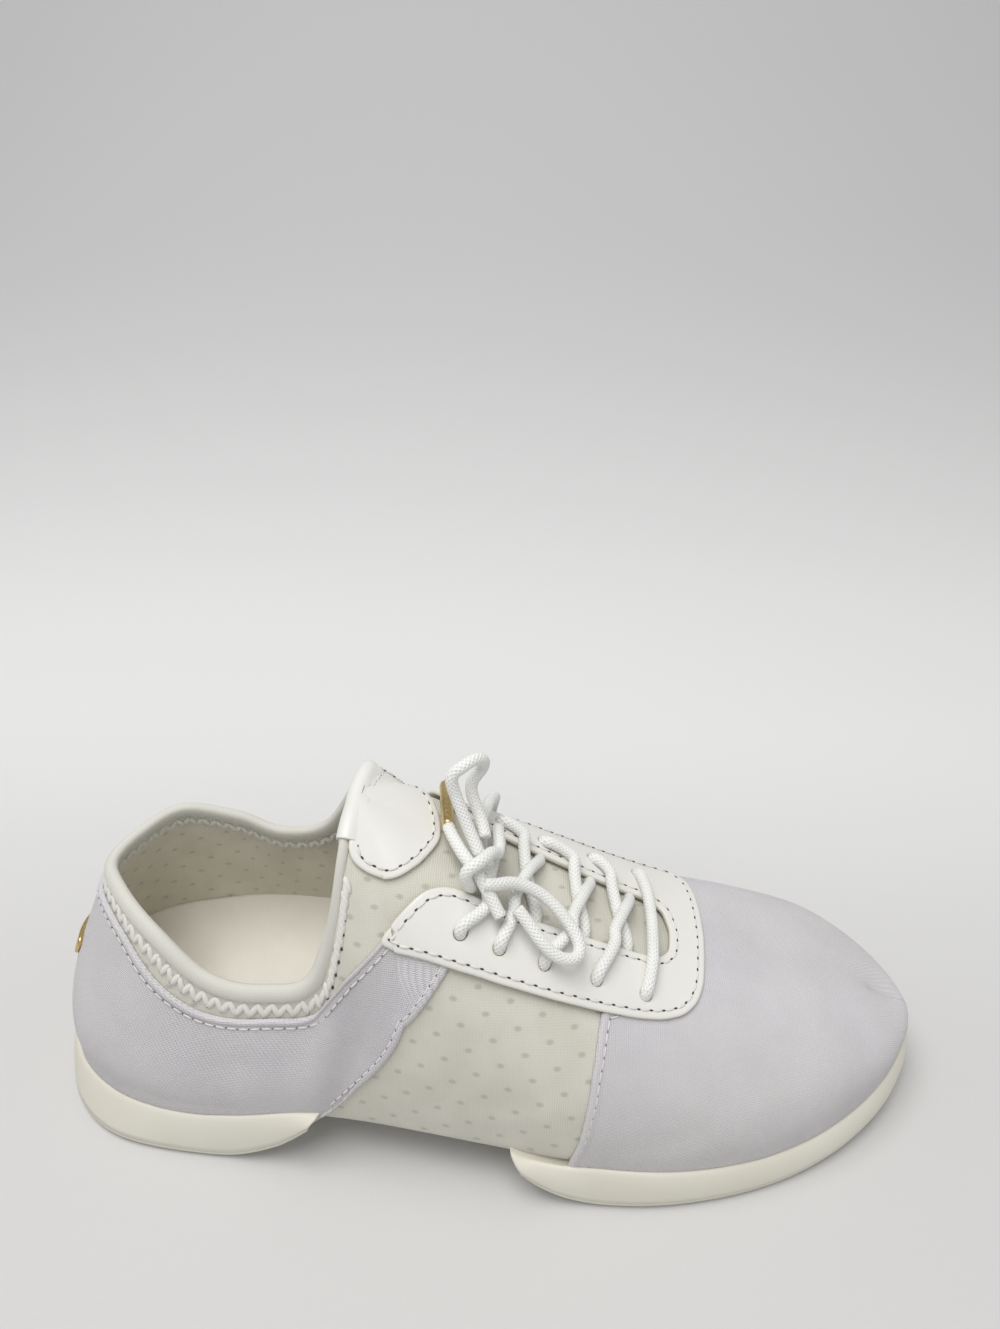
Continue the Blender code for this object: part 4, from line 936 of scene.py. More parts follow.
COLLAR_END = 7.0
SIDE_ROWS = 70
UNDER_ROWS = 8
BOOTIE_STEP = 0.06       # stations from column to column
COLLAR_DROP = 0.9        # how far below the collar's edge the bootie starts, inside the rolled edge
KNIT_FACE = 1.2          # thickness of the outer knit, the lining is the rest of the wall
HEEL_END = 4.0           # station where the ribs have turned from round the heel to along the side


def knit_uv(turn, down):
    """UVs of the knit in millimetres: ribs follow x on the sides and run round the heel."""
    station = folded(turn)
    line = on_last(TURNS, 0.5 * side_length(TURNS))
    run = lengths(line)
    run_here = np.interp(turn, TURNS, run)
    run_here = np.where(turn <= TOE_TIP, run_here, run[-1] - run_here)
    side_start = np.interp(np.where(turn <= TOE_TIP, HEEL_END, ROUND - HEEL_END), TURNS, line[:, 0])
    round_heel = side_start - np.interp(HEEL_END, TURNS, run) + run_here
    share = ease(HEEL_END - 1.0, HEEL_END + 0.4, station)
    u = round_heel * (1 - share) + on_last(turn, down)[..., 0] * share
    over_heel = side_length(TONGUE_TOP) + side_length(ROUND - TONGUE_TOP) - side_length(turn)
    inner = np.where(station >= TONGUE_TOP, side_length(station), over_heel)
    return np.stack([u, np.where(turn <= TOE_TIP, side_length(station) - down, inner + down)], -1)


def bootie_net():
    """Stations once round and distances down, for the whole bootie, closed under the foot."""
    turn = np.linspace(0.0, ROUND, int(round(ROUND / BOOTIE_STEP)) + 1)
    start = np.where(folded(turn) <= TONGUE_TOP, COLLAR_DROP, 0.0)[:, None]
    end = np.interp(turn, TURNS, CORNER_REACH)[:, None]
    full = np.interp(turn, TURNS, FULL_REACH)[:, None]
    share = np.linspace(0.0, 1.0, SIDE_ROWS)[None]
    more = np.linspace(0.0, 1.0, UNDER_ROWS + 1)[None, 1:]
    down = np.concatenate([start + (end - start) * share, end + (full - end) * more], axis=1)
    return np.broadcast_to(turn[:, None], down.shape), down


def soft_folds(point, folds):
    """How far soft creases lift a surface: each fold is a place, a direction, a length, a width and a depth."""
    rise = np.zeros(point.shape[:-1])
    for x, y, z, ax, ay, az, length, width, depth in folds:
        axis = unit(np.array((ax, ay, az), float))
        away = point - np.array((x, y, z))
        along = away @ axis
        across = np.linalg.norm(away - along[..., None] * axis, axis=-1)
        rise += depth * np.exp(-(along / length) ** 2 - (across / width) ** 2)
    return rise


KNIT_FOLDS = [
    (128.0, -44.0, 44.0, 0.5, 0.0, 1.0, 14.0, 5.0, 0.5), (118.0, -40.0, 60.0, 0.6, 0.0, 1.0, 12.0, 4.0, -0.4),
    (150.0, -46.0, 30.0, 1.0, 0.0, 0.3, 16.0, 4.0, 0.4)]


def bootie():
    turn, down = bootie_net()
    folds = soft_folds(on_last(turn, down), KNIT_FOLDS)
    uv = knit_uv(turn, down)
    for name, high, low, material in (("bootie_knit", 0.0, -KNIT_FACE, KNIT),
                                      ("bootie_lining", -KNIT_FACE - 0.05, -WALL, KNIT_LINING)):
        shell(name, on_last(turn, down, high + folds), on_last(turn, down, low + folds), uv, material,
              ["upper"], (True, True))


# Section of the rolled collar, outside and then inside: distance down from the edge, height off the bootie
ROLL_SECTION = [
    (2.4, 0.0), (1.9, 0.5), (0.8, 0.85), (-0.6, 0.75), (-1.8, 0.2), (-2.5, -0.7), (-2.6, -1.6),
    (-2.1, -2.6), (-0.8, -3.1), (0.8, -3.1), (2.0, -2.7), (2.6, -2.2), (2.5, -1.1)]


def steepness(turn):
    """How much longer the way down the last is than the way square to the collar's edge."""
    edge = on_last(TURNS, np.zeros_like(TURNS))
    run = np.hypot(np.gradient(edge[:, 0]), np.gradient(edge[:, 1]))
    slope = np.gradient(edge[:, 2]) / np.maximum(run, 1e-6)
    return np.interp(turn, TURNS, np.clip(np.hypot(1.0, slope), 1.0, 2.1))


def band_wide(turn):
    """How much wider the bound edge and its stitches are on the steep rise to the tongue."""
    return 1.0 + 0.8 * ease(4.9, 5.6, folded(turn))


def collar_turns(first, last, count):
    """Stations once round along the collar, from the outer side (negative) round the heel to the inner side."""
    station = np.linspace(first, last, count)
    turn = np.where(station < 0, -station, ROUND - station)
    return np.where(turn >= ROUND, 0.0, turn)


def collar_roll():
    section = through(ROLL_SECTION, 0.5)
    turn = collar_turns(-COLLAR_END, COLLAR_END, 421)[::-1]
    slim = 1.0 - 0.55 * ease(6.1, 6.7, folded(turn))[:, None]
    across = np.where(section[None, :, 0] < 0, slim, band_wide(turn)[:, None])
    down = section[None, :, 0] * across * steepness(turn)[:, None]
    middle = -0.5 * WALL
    height = middle + (section[None, :, 1] - middle) * slim
    rings = on_last(np.broadcast_to(turn[:, None], down.shape), down, height)
    rings = np.concatenate([rings, rings[:, :1]], axis=1)
    round_it = np.concatenate([lengths(section), [30.0]])
    uv = np.stack(np.broadcast_arrays(lengths(rings[:, 4])[:, None], round_it[None]), -1)
    grid_piece("collar_roll", rings, uv, ROLL_KNIT, ["upper"], flip=True)


# Canvas panels

CANVAS_FOLDS = [
    (70.0, -40.0, 52.0, 1.0, 0.0, -0.25, 26.0, 3.5, 0.55), (78.0, -41.0, 40.0, 1.0, 0.0, 0.15, 30.0, 4.5, -0.45),
    (40.0, -36.0, 60.0, 1.0, -0.3, -0.5, 20.0, 4.0, 0.4), (110.0, -38.0, 62.0, 0.8, 0.0, 1.0, 18.0, 3.0, 0.5),
    (100.0, -38.0, 60.0, 0.7, 0.0, 1.0, 16.0, 3.0, -0.35), (200.0, -46.0, 26.0, 1.0, 0.2, 0.2, 22.0, 5.0, -0.5),
    (226.0, -36.0, 30.0, 1.0, 0.4, 0.1, 18.0, 5.0, 0.5), (225.0, 5.0, 44.0, 0.2, 1.0, 0.0, 24.0, 6.0, -0.4)]
UNIT_GAP_MIDDLE = 120.0  # x between the two sole units
TUCK = 2.4               # how far canvas runs down behind the lip of a sole unit


def tuck_at(turn):
    """How far below its widest line the canvas ends, hidden by the lip of the sole unit."""
    widest = on_last(turn, side_length(turn))
    x = widest[..., 0]
    fore = x > UNIT_GAP_MIDDLE
    lip = np.where(fore, smooth_table(FORE_LIP, x), smooth_table(HEEL_LIP, x))
    hidden = np.where(fore, 1.0, 1.0 - 0.9 * ease(86.0, 92.0, x))
    return np.maximum(widest[..., 2] - lip, 0.0) + TUCK * hidden


def on_panel(turn, down, height):
    """Places over a panel: on the last, and straight down below its widest line."""
    reach = side_length(turn)
    place = on_last(turn, np.minimum(down, reach), height)
    place[..., 2] -= np.maximum(down - reach, 0.0)
    return place


def canvas_shell(name, turn, down, uv, edge_away, replaced, joined_first=False):
    """A canvas panel with a folded edge that stands a little proud."""
    base = on_panel(turn, down, np.zeros(turn.shape))
    rise = soft_folds(base, CANVAS_FOLDS)
    fold = 0.4 * ease(2.4, 1.7, edge_away) - 0.12 * np.exp(-((edge_away - 2.3) / 0.5) ** 2)
    round_off = 0.6 * ease(0.7, 0.0, edge_away)
    top = on_panel(turn, down, GAP + CANVAS + rise * ease(0.0, 6.0, edge_away) + fold - round_off)
    low = on_panel(turn, down, np.full(turn.shape, 0.12))
    shell(name, top, low, uv, CANVAS_CLOTH, replaced, joined_first=joined_first)


def smooth_table(rows, x):
    """A two-column table read with rounded corners."""
    rows = np.asarray(rows, float)
    dense = np.linspace(rows[0, 0], rows[-1, 0], 600)
    value = np.interp(dense, rows[:, 0], rows[:, 1])
    width = 14
    kernel = np.hanning(2 * width + 1)
    kernel /= kernel.sum()
    padded = np.concatenate([2 * value[0] - value[width:0:-1], value, 2 * value[-1] - value[-2:-width - 2:-1]])
    return np.interp(x, dense, np.convolve(padded, kernel, "valid"))


def heel_front(share):
    """Station and distance down at a share of the way down the heel canvas's front seam."""
    stops = np.array(HEEL_FRONT)
    even = through(stops * (15.0, 1.0), 0.5) / (15.0, 1.0)
    t = np.linspace(0.0, 1.0, len(even))
    return read_at(share, t, even)


def inner_share(station, share):
    """Scale for a distance down on the inner side, whose way down to the sole is a different length."""
    inner = side_length(np.minimum(ROUND - station, ROUND - 0.01))
    return 1.0 + (inner / side_length(station) - 1.0) * share


def heel_canvas():
    columns, rows = 401, 90
    along = np.linspace(-1.0, 1.0, columns)[:, None]
    spread = 1 - (1 - np.abs(along)) ** 1.15
    share = (np.linspace(0.0, 1.0, rows) ** 1.6)[None]
    front = heel_front(share)
    first_q, last_q = HEEL_FRONT[0][0], HEEL_FRONT[-1][0]
    top_q, low_q = spread * first_q, spread * last_q
    q = top_q * (1 - share) + low_q * share
    down = smooth_table(HEEL_TOP, top_q) * (1 - share) + (side_length(low_q) + tuck_at(low_q)) * share
    end_down = HEEL_TOP[-1][1] * (1 - share) + (side_length(last_q) + tuck_at(last_q)) * share
    q = q + (front[..., 0] - (first_q * (1 - share) + last_q * share)) * spread ** 4
    down = down + (front[..., 1] - end_down) * spread ** 4
    turn = np.where(along <= 0, q, ROUND - q)
    down = np.where(along <= 0, down, down * inner_share(q, share))
    place = on_panel(turn, down, 0.0)
    from_start = lengths(place)
    edge_away = np.minimum(lengths(place, 1), np.minimum(from_start, from_start[-1:] - from_start))
    uv = np.stack([from_start - from_start[columns // 2], side_length(turn) - down], -1)
    canvas_shell("canvas_heel", turn, down, uv, edge_away, ["heel_panel"])


def toe_canvas():
    rows, columns = 96, 150
    share = np.linspace(0.0, 1.0, rows)[None]
    start = smooth_table(VAMP_EDGE, share * (side_length(VAMP_MIDDLE) + 4.0))
    q = start + (TOE_TIP - start) * np.linspace(0, 1, columns)[:, None]
    turn = np.concatenate([q, ROUND - q[::-1][1:]])
    down = (side_length(turn) + tuck_at(turn)) * share
    place = on_panel(turn, down, 0.0)
    from_start = lengths(place)
    edge_away = np.minimum(from_start, from_start[-1:] - from_start)
    uv = np.stack([place[..., 0], np.where(turn <= TOE_TIP, -down, down)], -1)
    canvas_shell("canvas_toe", turn, down, uv, edge_away, ["vamp_panel"], joined_first=True)


# Leather

def ring_on_last(q, across, radius, count=28):
    """A circle on the last's surface, as seen from above."""
    centre = skin(q, across)
    turn = q if across < 0 else ROUND - q
    normal = normal_on_last(turn, abs(across))
    first = unit(np.cross(normal, (0.0, 1.0, 0.0)))
    second = np.cross(normal, first)
    a = np.linspace(0, 2 * math.pi, count, endpoint=False)[:, None]
    return (centre + radius * (np.cos(a) * first + np.sin(a) * second))[:, :2]


def eyestay():
    outline = softened(STAY_OUTER + STAY_THROAT, 0.8, 1.6)
    holes = [ring_on_last(q, across, HOLE_RADIUS) for q, outer, inner in HOLES for across in (-outer, inner)]
    cut_sheet("eyestay_leather", outline, holes, [0, 1], above_side, 1.25, STAY_HIGH, 1.0, 1.8, WHITE_LEATHER,
              ["eyestay"])


def tongue_patch():
    cut_sheet("tongue_patch_leather", softened(PATCH, 0.8, 1.2), [], [0, 1], above_side, GAP, GAP + LEATHER + 0.2,
              1.0, 1.6, WHITE_LEATHER, ["tongue_patch"])


# Section of the patch where it folds over the tongue's top edge: distance beyond the edge, height off the bootie
FOLD_OVER = [(-5.0, 1.2), (-4.0, 1.66), (-2.4, 1.76), (-0.6, 1.78), (0.7, 1.35), (1.7, 0.4), (2.1, -1.1), (1.7, -2.6),
             (0.7, -3.5), (-0.8, -3.9), (-4.0, -3.95), (-8.6, -3.8), (-9.2, -3.5), (-9.0, -3.0)]
FOLD_UNDER = [(-6.0, -2.7), (0.2, -1.1), (-4.6, 0.3)]
FOLD_START, FOLD_END = 6.24, 6.16          # stations where it ends, on the outer and inner side


def patch_fold():
    """The part of the patch that wraps the top edge of the tongue."""
    section = np.concatenate([through(FOLD_OVER, 0.45), FOLD_UNDER])
    outer = np.linspace(FOLD_START, TONGUE_TOP, 40)
    turn = np.concatenate([outer, ROUND - np.linspace(TONGUE_TOP, FOLD_END, 40)[1:]])
    edge = on_last(turn, np.zeros_like(turn))
    up = normal_on_last(turn, np.full_like(turn, 2.0))
    kernel = np.hanning(31) / np.hanning(31).sum()
    up = unit(np.stack([np.convolve(np.pad(up[:, k], 15, mode="edge"), kernel, "valid") for k in range(3)], -1))
    beyond = unit(np.cross(up, unit(np.gradient(edge, axis=0))))
    beyond = np.where((beyond * (-1.0, 0.0, 0.4)).sum(-1, keepdims=True) < 0, -beyond, beyond)
    rings = edge[:, None] + beyond[:, None] * section[None, :, :1] + up[:, None] * section[None, :, 1:]
    rings = np.concatenate([rings, rings[:, :1]], axis=1)
    lids = [np.broadcast_to(rings[k].mean(0), rings[:1].shape) for k in (0, -1)]
    rings = np.concatenate([lids[0], rings, lids[1]])
    grid_piece("tongue_patch_fold", rings, rings[..., :2], WHITE_LEATHER, ["tongue_patch"],
               outward=True)


def heel_bar():
    y, z, half_width, half_height, thick = HEEL_BAR
    corner = 0.6 * half_height
    outline = []
    for cx, cz, start in ((1, 1, 0), (-1, 1, 90), (-1, -1, 180), (1, -1, 270)):
        for step in range(0, 91, 15):
            a = math.radians(start + step)
            outline.append((y + cx * (half_width - corner) + corner * math.cos(a),
                            z + cz * (half_height - corner) + corner * math.sin(a)))
    cut_sheet("heel_bar", softened(outline, 0.6, 0.3), [], [1, 2], heel_back, CANVAS + GAP,
              CANVAS + 2 * GAP + thick, 1.2, 1.4, BRASS, ["heel_badge"])


# Sole units

# Underside and lip of each unit: x, height
HEEL_LOW = [(0.0, 0.0), (59.0, 0.0), (64.0, 0.4), (67.9, 1.3), (74.5, 3.9), (81.1, 7.3), (86.2, 11.4), (89.5, 14.8),
            (93.0, 18.2), (98.0, 21.2)]
HEEL_LIP = [(0.0, 14.3), (33.0, 14.4), (44.0, 14.8), (57.0, 15.7), (70.0, 18.0), (82.0, 20.2), (88.0, 20.9),
            (95.0, 21.5), (99.0, 21.8)]
FORE_LOW = [(146.0, 19.0), (150.0, 15.2), (153.3, 10.9), (156.2, 8.0), (159.1, 5.8), (165.0, 2.6), (170.9, 0.9),
            (177.0, 0.1), (185.0, 0.0), (222.0, 0.0), (236.0, 0.6), (250.0, 1.9), (265.0, 4.1), (278.0, 6.6)]
FORE_LIP = [(146.0, 19.6), (150.0, 17.4), (154.0, 15.8), (164.6, 14.5), (176.0, 14.6), (187.4, 13.7), (204.8, 12.1),
            (223.0, 10.9), (240.0, 11.2), (255.0, 12.9), (268.0, 15.2), (280.0, 17.6)]
TREAD = 2.65
# Tread: share of its thickness, distance out from the outline; foam: share of its height, distance out
TREAD_LAYERS = [(0.0, 2.0), (0.05, 3.1), (0.2, 3.95), (0.42, 4.45), (0.75, 4.7), (0.92, 4.66), (1.0, 4.4)]
FOAM_LAYERS = [(0.0, 4.4), (0.02, 4.72), (0.16, 4.7), (0.34, 4.5), (0.52, 4.15), (0.68, 3.7), (0.8, 3.25),
               (0.9, 2.75), (0.96, 2.35), (0.99, 1.95), (1.0, 1.6), (0.99, 1.3), (0.9, 0.8), (0.8, -3.0)]
HEEL_ENDS = (93.4, 96.4, 3.0, 2.6)         # x of the breast at the underside and lip, rounding there
FORE_ENDS = (149.8, 147.4, 3.5, 3.0)
FLARE = 3.0                                # how much wider the heel's back outer corner stands at the floor


def station_at(x, side, offset):
    """Station at which the outline, moved out, reaches a given x."""
    q = np.linspace(0.5, TOE_TIP - 0.5, 1400)
    point, out = outline_at(q if side < 0 else ROUND - q)
    reach = np.maximum.accumulate((point + out * offset)[:, 0])
    return float(np.interp(x, reach, q))


def unit_loop(heights, offset, edge, rounding, fore, flare):
    """One level of a sole unit: along the outer side, round the end, back along the inner side, over the breast."""
    count, across_count = 110, 36
    toward = 1.0 if fore else -1.0
    sides = []
    for side in (-1, 1):
        meet = station_at(edge + toward * rounding, side, offset)
        q = np.linspace(meet, TOE_TIP if fore else 0.0, count)
        point, out = outline_at(q if side < 0 else (ROUND - q) % ROUND)
        away = offset * (1.0 - 0.35 * ease(11.5, 14.0, q)) if fore else np.full_like(q, offset)
        if not fore and side < 0:
            away = away + flare * FLARE * np.exp(-((q - 2.0) / 1.1) ** 2)
        sides.append(point + out * away[:, None])
    loop = np.concatenate([sides[0], sides[1][::-1][1:]])
    f = np.linspace(0.0, 1.0, across_count + 1)[1:-1, None]
    over = loop[-1] * (1 - f) + loop[0] * f
    over[:, 0] += -toward * rounding * (1.0 - np.abs(2 * f[:, 0] - 1) ** 2.6)
    loop = np.roll(np.concatenate([loop, over]), -(count - 1), axis=0)
    loop[:, 2] = heights(loop[:, 0])
    return loop


def lid(loop, heights, columns=12):
    """Closes a level from side to side, following its height."""
    half = len(loop) // 2
    one = loop[:half + 1]
    other = np.roll(loop[::-1], 1, axis=0)[:half + 1]
    f = np.linspace(0.0, 1.0, columns)[None, :, None]
    net = one[:, None] * (1 - f) + other[:, None] * f
    net[:, 1:-1, 2] = heights(net[:, 1:-1, 0])
    return net.reshape(-1, 3), grid_faces(half + 1, columns)


def sole_piece(name, layers, fore, tread, material, replaced):
    low_line, lip_line = (FORE_LOW, FORE_LIP) if fore else (HEEL_LOW, HEEL_LIP)
    first_end, last_end, first_round, last_round = FORE_ENDS if fore else HEEL_ENDS
    rings, lids = [], []
    for index, (share, offset) in enumerate(layers):
        up_it = 0.0 if tread else share

        def heights(x, share=share):
            low, lip = smooth_table(low_line, x), smooth_table(lip_line, x)
            thick = np.minimum(TREAD, 0.42 * (lip - low))
            return low + share * thick if tread else low + thick + share * (lip - low - thick)

        edge = first_end + (last_end - first_end) * up_it
        rounding = first_round + (last_round - first_round) * up_it
        loop = unit_loop(heights, offset, edge, rounding, fore, (1 - up_it) ** 1.5)
        rings.append(loop)
        if index in (0, len(layers) - 1):
            lids.append(lid(loop, heights))
    rings = np.array(rings)
    rings = np.concatenate([rings, rings[:, :1]], axis=1)
    verts, faces = [rings.reshape(-1, 3)], [grid_faces(*rings.shape[:2])]
    for points, quads in lids:
        faces.append(quads + sum(len(v) for v in verts))
        verts.append(points)
    verts, faces = np.concatenate(verts), np.concatenate(faces)
    uv = np.stack([verts[:, 0], verts[:, 1] + verts[:, 2]], -1)
    new_piece(name, verts, faces, material, replaced, uvs=uv[faces], outward=True)


def sole_units():
    for unit_name, fore in (("heel", False), ("forefoot", True)):
        sole_piece(unit_name + "_tread", TREAD_LAYERS, fore, True, CREAM_TREAD,
                   [unit_name + "_outsole"])
        sole_piece(unit_name + "_foam", FOAM_LAYERS, fore, False, CREAM_FOAM, [unit_name + "_sole"])


# Footbed

FOOTBED = [(5.5, 8.0), (5.5, 8.0), (5.5, 8.0), (5.5, 8.0), (5.5, 8.0), (5.2, 7.5), (5.0, 7.0), (4.8, 6.0),
           (4.5, 5.0), (4.2, 4.0), (4.0, 3.5), (4.0, 3.0), (4.0, 3.0), (4.0, 3.0), (4.0, 3.0)]
FOOTBED_THICK = 2.0
ARCH_STATION = 5.6
ARCH_RISE = 10.0


def footbed():
    q = np.linspace(0.0, TOE_TIP, 281)
    f = np.linspace(0.0, 1.0, 61)[None]
    outer, out_a = outline_at(q)
    inner, out_b = outline_at((ROUND - q) % ROUND)
    inset = WALL + 0.1
    net = ((outer - out_a * inset)[:, None] * (1 - f[..., None]) + (inner - out_b * inset)[:, None] * f[..., None])
    bottom = smooth_row(BOTTOM, q, False)[:, :1]
    thick, cup = smooth_row(FOOTBED, q, False).T[..., None]
    ends = 1.0 - np.clip(np.minimum(q, TOE_TIP - q) / 0.9, 0.0, 1.0)[:, None]
    dish = np.maximum(np.abs(2 * f - 1) ** 4, ends ** 3)
    arch = ARCH_RISE * np.exp(-((q - ARCH_STATION) / 2.0) ** 2)[:, None] * f ** 3
    net[..., 2] = bottom + WALL + GAP + thick + cup * dish + arch
    low = net - (0.0, 0.0, FOOTBED_THICK)
    shell("suede_footbed", net, low, net[..., :2].copy(), SUEDE, ["insole"])


# Stitching

LEAF = ((-0.82, 0.6), (-0.3, 0.97), (0.3, 0.97), (0.82, 0.6))
LEAF_SIDES = 6
SEAM_PITCH = 3.4         # from stitch to stitch on canvas
COVER_STEP = 2.1         # from one collar stitch to the next
UPPER_STITCHES = 3.2     # how far below the edge the collar's stitches start
LEATHER_INSET = 2.3


def small_parts(name, middles, ways, ups, half_sizes, material):
    """Many small rounded lozenges as one piece; half_sizes gives length, width and height."""
    length, width, height = half_sizes
    across = unit(np.cross(ups, ways))
    ups = np.cross(ways, across)
    turn = np.arange(LEAF_SIDES) * 2 * math.pi / LEAF_SIDES
    rows = [middles[:, None] - ways[:, None] * length]
    for place, size in LEAF:
        ring = (middles + ways * length * place)[:, None]
        ring = ring + across[:, None] * (width * size * np.cos(turn))[None, :, None]
        rows.append(ring + ups[:, None] * (height * size * np.sin(turn))[None, :, None])
    rows.append(middles[:, None] + ways[:, None] * length)
    verts = np.concatenate(rows, axis=1)
    per = verts.shape[1]
    one = []
    for k in range(LEAF_SIDES):
        after = (k + 1) % LEAF_SIDES
        one.append((0, 1 + after, 1 + k))
        for a in range(1, per - 1 - LEAF_SIDES, LEAF_SIDES):
            one.append((a + k, a + after, a + LEAF_SIDES + after, a + LEAF_SIDES + k))
        last = per - 1 - LEAF_SIDES
        one.append((last + k, last + after, per - 1))
    faces = [tuple(i + n * per for i in f) for n in range(len(verts)) for f in one]
    new_piece(name, verts.reshape(-1, 3), faces, material, merge=False)


def seam_line(turn, down, height, inset, closed=False):
    """A line on the last as places, ways along and ways up, moved sideways by inset."""
    place, up = on_panel(turn, down, height), normal_on_last(turn, down)
    if closed:
        place, up = np.vstack([place, place[:1]]), np.vstack([up, up[:1]])
    ahead = unit(np.gradient(place, axis=0))
    return place + unit(np.cross(up, ahead)) * inset, up


def evenly(place, up, pitch, shift=0.5):
    """Middles, ways and ups at even steps along a line."""
    run = lengths(place)
    count = max(int(run[-1] / pitch), 2)
    even = (np.arange(count) + shift) * run[-1] / count
    ways = unit(read_at(even + 0.4, run, place) - read_at(even - 0.4, run, place))
    return read_at(even, run, place), ways, unit(read_at(even, run, up))


def sewing(name, turn, down, inset):
    """A row of lockstitches near a canvas edge, with dark lozenges of painted shade for the needle holes between
    them.
    """
    place, up = seam_line(turn, down, CANVAS + GAP + 0.1, inset)
    middle, way, ups = evenly(place, up, SEAM_PITCH)
    small_parts(name + "_thread", middle + ups * 0.1, way, ups, (0.43 * SEAM_PITCH, 0.32, 0.22), CANVAS_THREAD)
    # painted shade: dark lozenges at the needle holes between the stitches
    middle, way, ups = evenly(place, up, SEAM_PITCH, 0.0)
    small_parts(name + "_hole_shade", middle, way, ups, (0.09 * SEAM_PITCH, 0.26, 0.3), CANVAS_HOLE_SHADE)


def coverstitch(name, upper, lower, height, holes=True):
    """Plump zigzag stitches round the collar, with dark lozenges of painted shade for the needle holes along their
    ends.
    """
    turn = collar_turns(-6.15, 6.05, 900)
    station = folded(turn)
    high_line, low_line = (on_last(turn, row(station), height) for row in (upper, lower))
    up = normal_on_last(turn, lower(station)) * (-1.0 if height < 0 else 1.0)
    run = lengths(low_line)
    count = int(run[-1] / COVER_STEP)
    even = np.linspace(1.0, run[-1] - 1.0, count)
    odd = (np.arange(count) % 2 == 0)[:, None]
    lean = unit(read_at(even + 0.5, run, low_line) - read_at(even - 0.5, run, low_line)) * 0.95
    start = read_at(even, run, low_line) + np.where(odd, -lean, lean)
    end = read_at(even, run, high_line) + np.where(odd, lean, -lean)
    ups = unit(read_at(even, run, up))
    half_length = 0.5 * float(np.linalg.norm(end - start, axis=1).mean()) + 0.1
    small_parts(name, 0.5 * (start + end) + ups * 0.1, unit(end - start), ups, (half_length, 1.05, 0.7), THREAD)
    # painted shade: dark lozenges at the needle holes
    if holes:
        marks = even[::2] - 1.0
        ahead = unit(read_at(marks + 0.5, run, low_line) - read_at(marks - 0.5, run, low_line))
        ups = unit(read_at(marks, run, up))
        small_parts(name + "_hole_shade", read_at(marks, run, low_line) + ups * 0.1, ahead, ups, (0.6, 0.5, 0.35),
                    NEEDLE_HOLE_SHADE)


def collar_upper(station):
    wide = UPPER_STITCHES * band_wide(station)
    return np.minimum(wide * steepness(station), smooth_table(HEEL_TOP, station) - 4.4)


def collar_lower(station):
    wide = UPPER_STITCHES * band_wide(station) + 3.7
    return np.minimum(wide * steepness(station), smooth_table(HEEL_TOP, station) - 1.0)


def leather_sewing(name, plan, height, behind=None):
    """Stitches inside the edge of a leather piece, with dark lozenges of painted shade for the needle holes; none
    behind a given x.
    """
    loop = softened(plan, 0.8, 1.6)
    turn, down = find_on_last(loop, [0, 1], above_side)
    place, up = seam_line(turn, down, height, 0.0, True)
    inward = unit(np.cross(up, unit(np.gradient(place, axis=0))))
    x, y = (loop - loop.mean(0)).T
    if (x * np.roll(y, -1) - y * np.roll(x, -1)).sum() < 0:
        inward = -inward
    line = place + inward * LEATHER_INSET
    if behind is not None:
        ahead = line[:, 0] > behind
        order = np.roll(np.arange(len(line)), -int(np.argmax(~ahead)))
        order = order[ahead[order]]
        line, up = line[order], up[order]
    middle, way, ups = evenly(line, up, 4.0)
    small_parts(name + "_thread", middle + ups * 0.08, way, ups, (1.4, 0.4, 0.28), THREAD)
    # painted shade: dark lozenges at the needle holes
    middle, way, ups = evenly(line, up, 4.0, 0.0)
    small_parts(name + "_hole_shade", middle, way, ups, (0.6, 0.3, 0.2), NEEDLE_HOLE_SHADE)


def stitching():
    q = np.linspace(0.02, 7.6, 500)
    line = smooth_table(HEEL_TOP, q)
    sewing("heel_top_outer", q, line, -2.6)
    sewing("heel_top_inner", ROUND - q, line, 2.6)
    share = np.linspace(0.03, 0.9, 300)
    q, down = heel_front(share).T
    sewing("heel_front_outer", q, down, -2.0)
    sewing("heel_front_inner", ROUND - q, down * inner_share(q, share), 2.0)
    down = np.linspace(30.0, side_length(9.0), 300)
    start = smooth_table(VAMP_EDGE, down)
    sewing("vamp_outer", start, down, 2.0)
    sewing("vamp_inner", ROUND - start, down * side_length(ROUND - VAMP_MIDDLE) / side_length(VAMP_MIDDLE), -2.0)
    leather_sewing("eyestay", STAY_OUTER + STAY_THROAT, STAY_HIGH)
    leather_sewing("patch", PATCH, 1.7, behind=106.5)
    coverstitch("collar_coverstitch", collar_upper, collar_lower, 0.0)
    coverstitch("collar_coverstitch_inside", lambda s: np.full_like(s, 3.2), lambda s: np.full_like(s, 6.6), -WALL,
                holes=False)


# Laces

def strand_stops(level, side):
    outer_edge, inner_edge, inner_start, inner_lip, outer_start, outer_lip = CROSSINGS[level]
    hole_q, outer_hole, inner_hole = HOLES[level]
    if side < 0:
        under = (inner_start, -outer_edge)
        lip, hole = (inner_lip, inner_edge), (hole_q, inner_hole)
    else:
        under = (outer_start, inner_edge)
        lip, hole = (outer_lip, -outer_edge), (hole_q, -outer_hole)
    return under, lip, hole


def lace_tube(name, stops, node):
    tube(name, relaxed(through(stops, 0.8), 1.6), 0.5 * LACE, COTTON_LACE, [node])


def into_hole(q, across, far):
    """The last places of a lace that dives into a hole; far is the way it comes over the leather."""
    return [skin(q, across - far * 1.8, LACE_LIFT - 0.4), skin(q, across + far * 0.2, LACE_LIFT - 2.6),
            skin(q, across + far * 0.6, -0.2)]


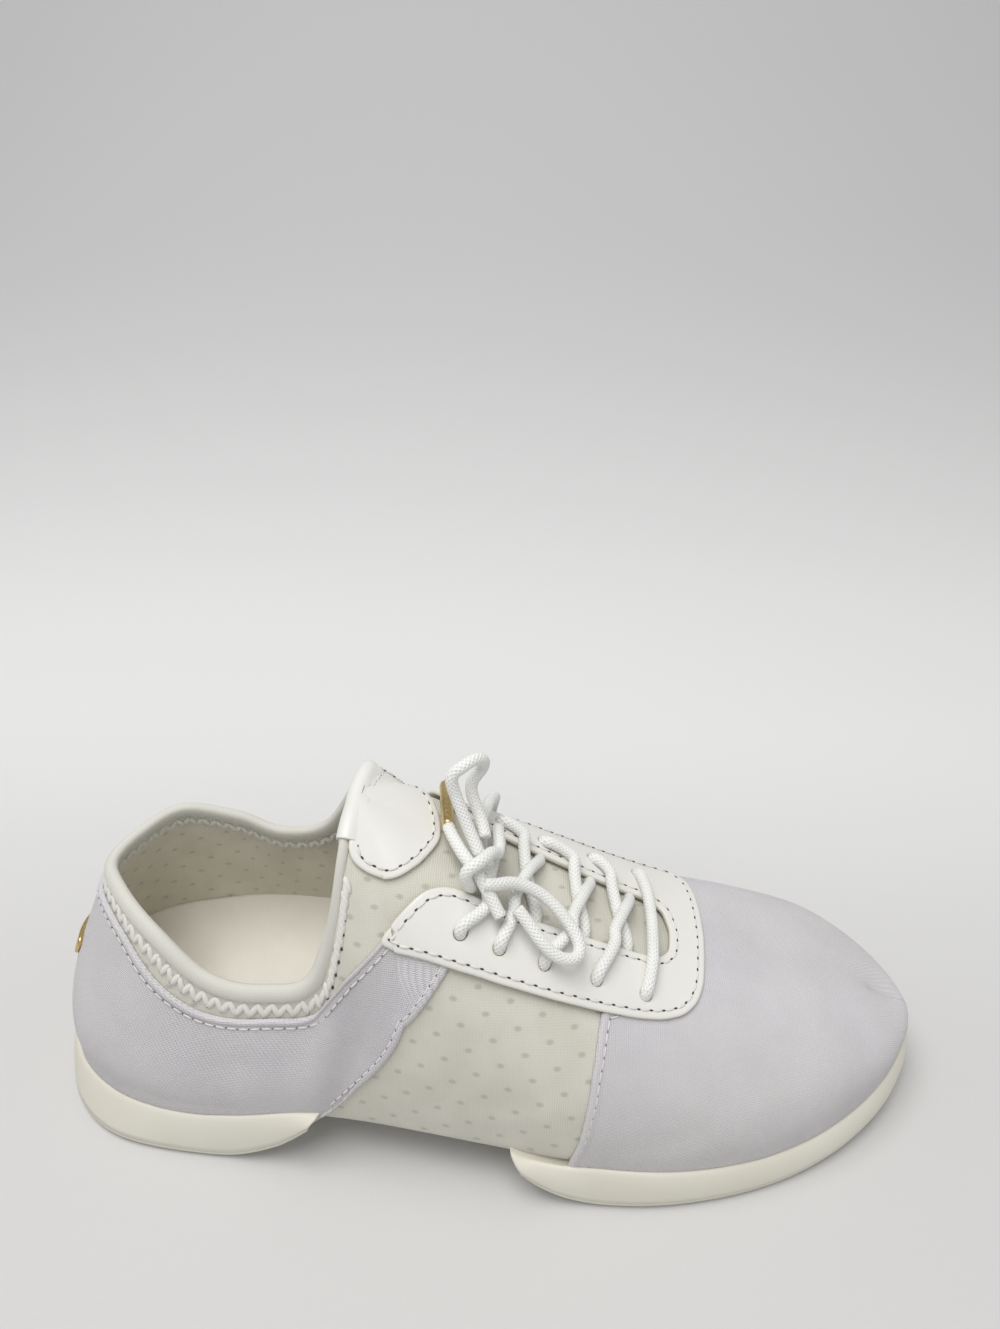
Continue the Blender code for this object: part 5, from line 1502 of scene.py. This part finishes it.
def lace_strand(name, level, side, over):
    """From under the leather on one side, across the tongue and the other edge, down into the next hole up."""
    under, lip, hole = strand_stops(level, side)
    away = 1 if under[1] > 0 else -1
    far = -away
    stops = [
        skin(under[0], under[1] + away * 3.5, -1.6), skin(under[0], under[1] + away * 1.0, -0.6),
        skin(under[0], under[1] - away * 2.0, 1.2),
        skin(0.5 * (under[0] + lip[0]), 0.5 * (under[1] + lip[1]), TONGUE_LIFT + over),
        skin(lip[0], lip[1] - far * 1.4, LACE_LIFT - 0.2), skin(lip[0], lip[1] + far * 1.6, LACE_LIFT + 0.1),
        skin(0.5 * (lip[0] + hole[0]), 0.5 * (lip[1] + hole[1]) + far * 0.5, LACE_LIFT + 0.1),
        *into_hole(hole[0], hole[1], far)]
    lace_tube(name, stops, "lace_cross_%d" % (level + 1))


def lacing():
    for level in range(4):
        lace_strand("lace_to_inner_%d" % (level + 1), level, -1, 0.0)
        lace_strand("lace_to_outer_%d" % (level + 1), level, 1, 2.4)
    q, outer, inner = HOLES[-1]
    stops = into_hole(q, -outer, -1)[::-1]
    for f in (0.2, 0.35, 0.5, 0.65, 0.8):
        stops.append(skin(q + 0.4 * f * (1.0 - f), inner * f - outer * (1.0 - f), LACE_LIFT))
    lace_tube("lace_bar_front", stops + into_hole(q, inner, 1), "lace_bar")


def aglet(name, start, end, node):
    a, b = skin(*start), skin(*end)
    f = np.array((0.0, 0.04, 0.5, 0.9, 0.97, 1.0))[:, None]
    radius = 0.5 * LACE * np.array((0.98, 1.06, 1.04, 1.0, 0.82, 0.4))
    return tube(name, a * (1 - f) + b * f, radius, BRASS, [node], sides=20)


def bow():
    tips = {end: aglet("aglet_tip_" + end, *ends, "aglet_" + end) for end, ends in AGLETS.items()}
    for name, route in BOW.items():
        points = relaxed(through([skin(*row) for row in route], 0.8), 2.6)
        piece = tube(name, points, 0.5 * LACE, COTTON_LACE, [name.replace("bow", "lace")])
        path = to_metres(points)
        float(lengths(path)[-1])


add_camera()
lacing()
bow()
add_floor()
add_lights()
bootie()
collar_roll()
heel_canvas()
toe_canvas()
eyestay()
tongue_patch()
patch_fold()
heel_bar()
sole_units()
footbed()
stitching()
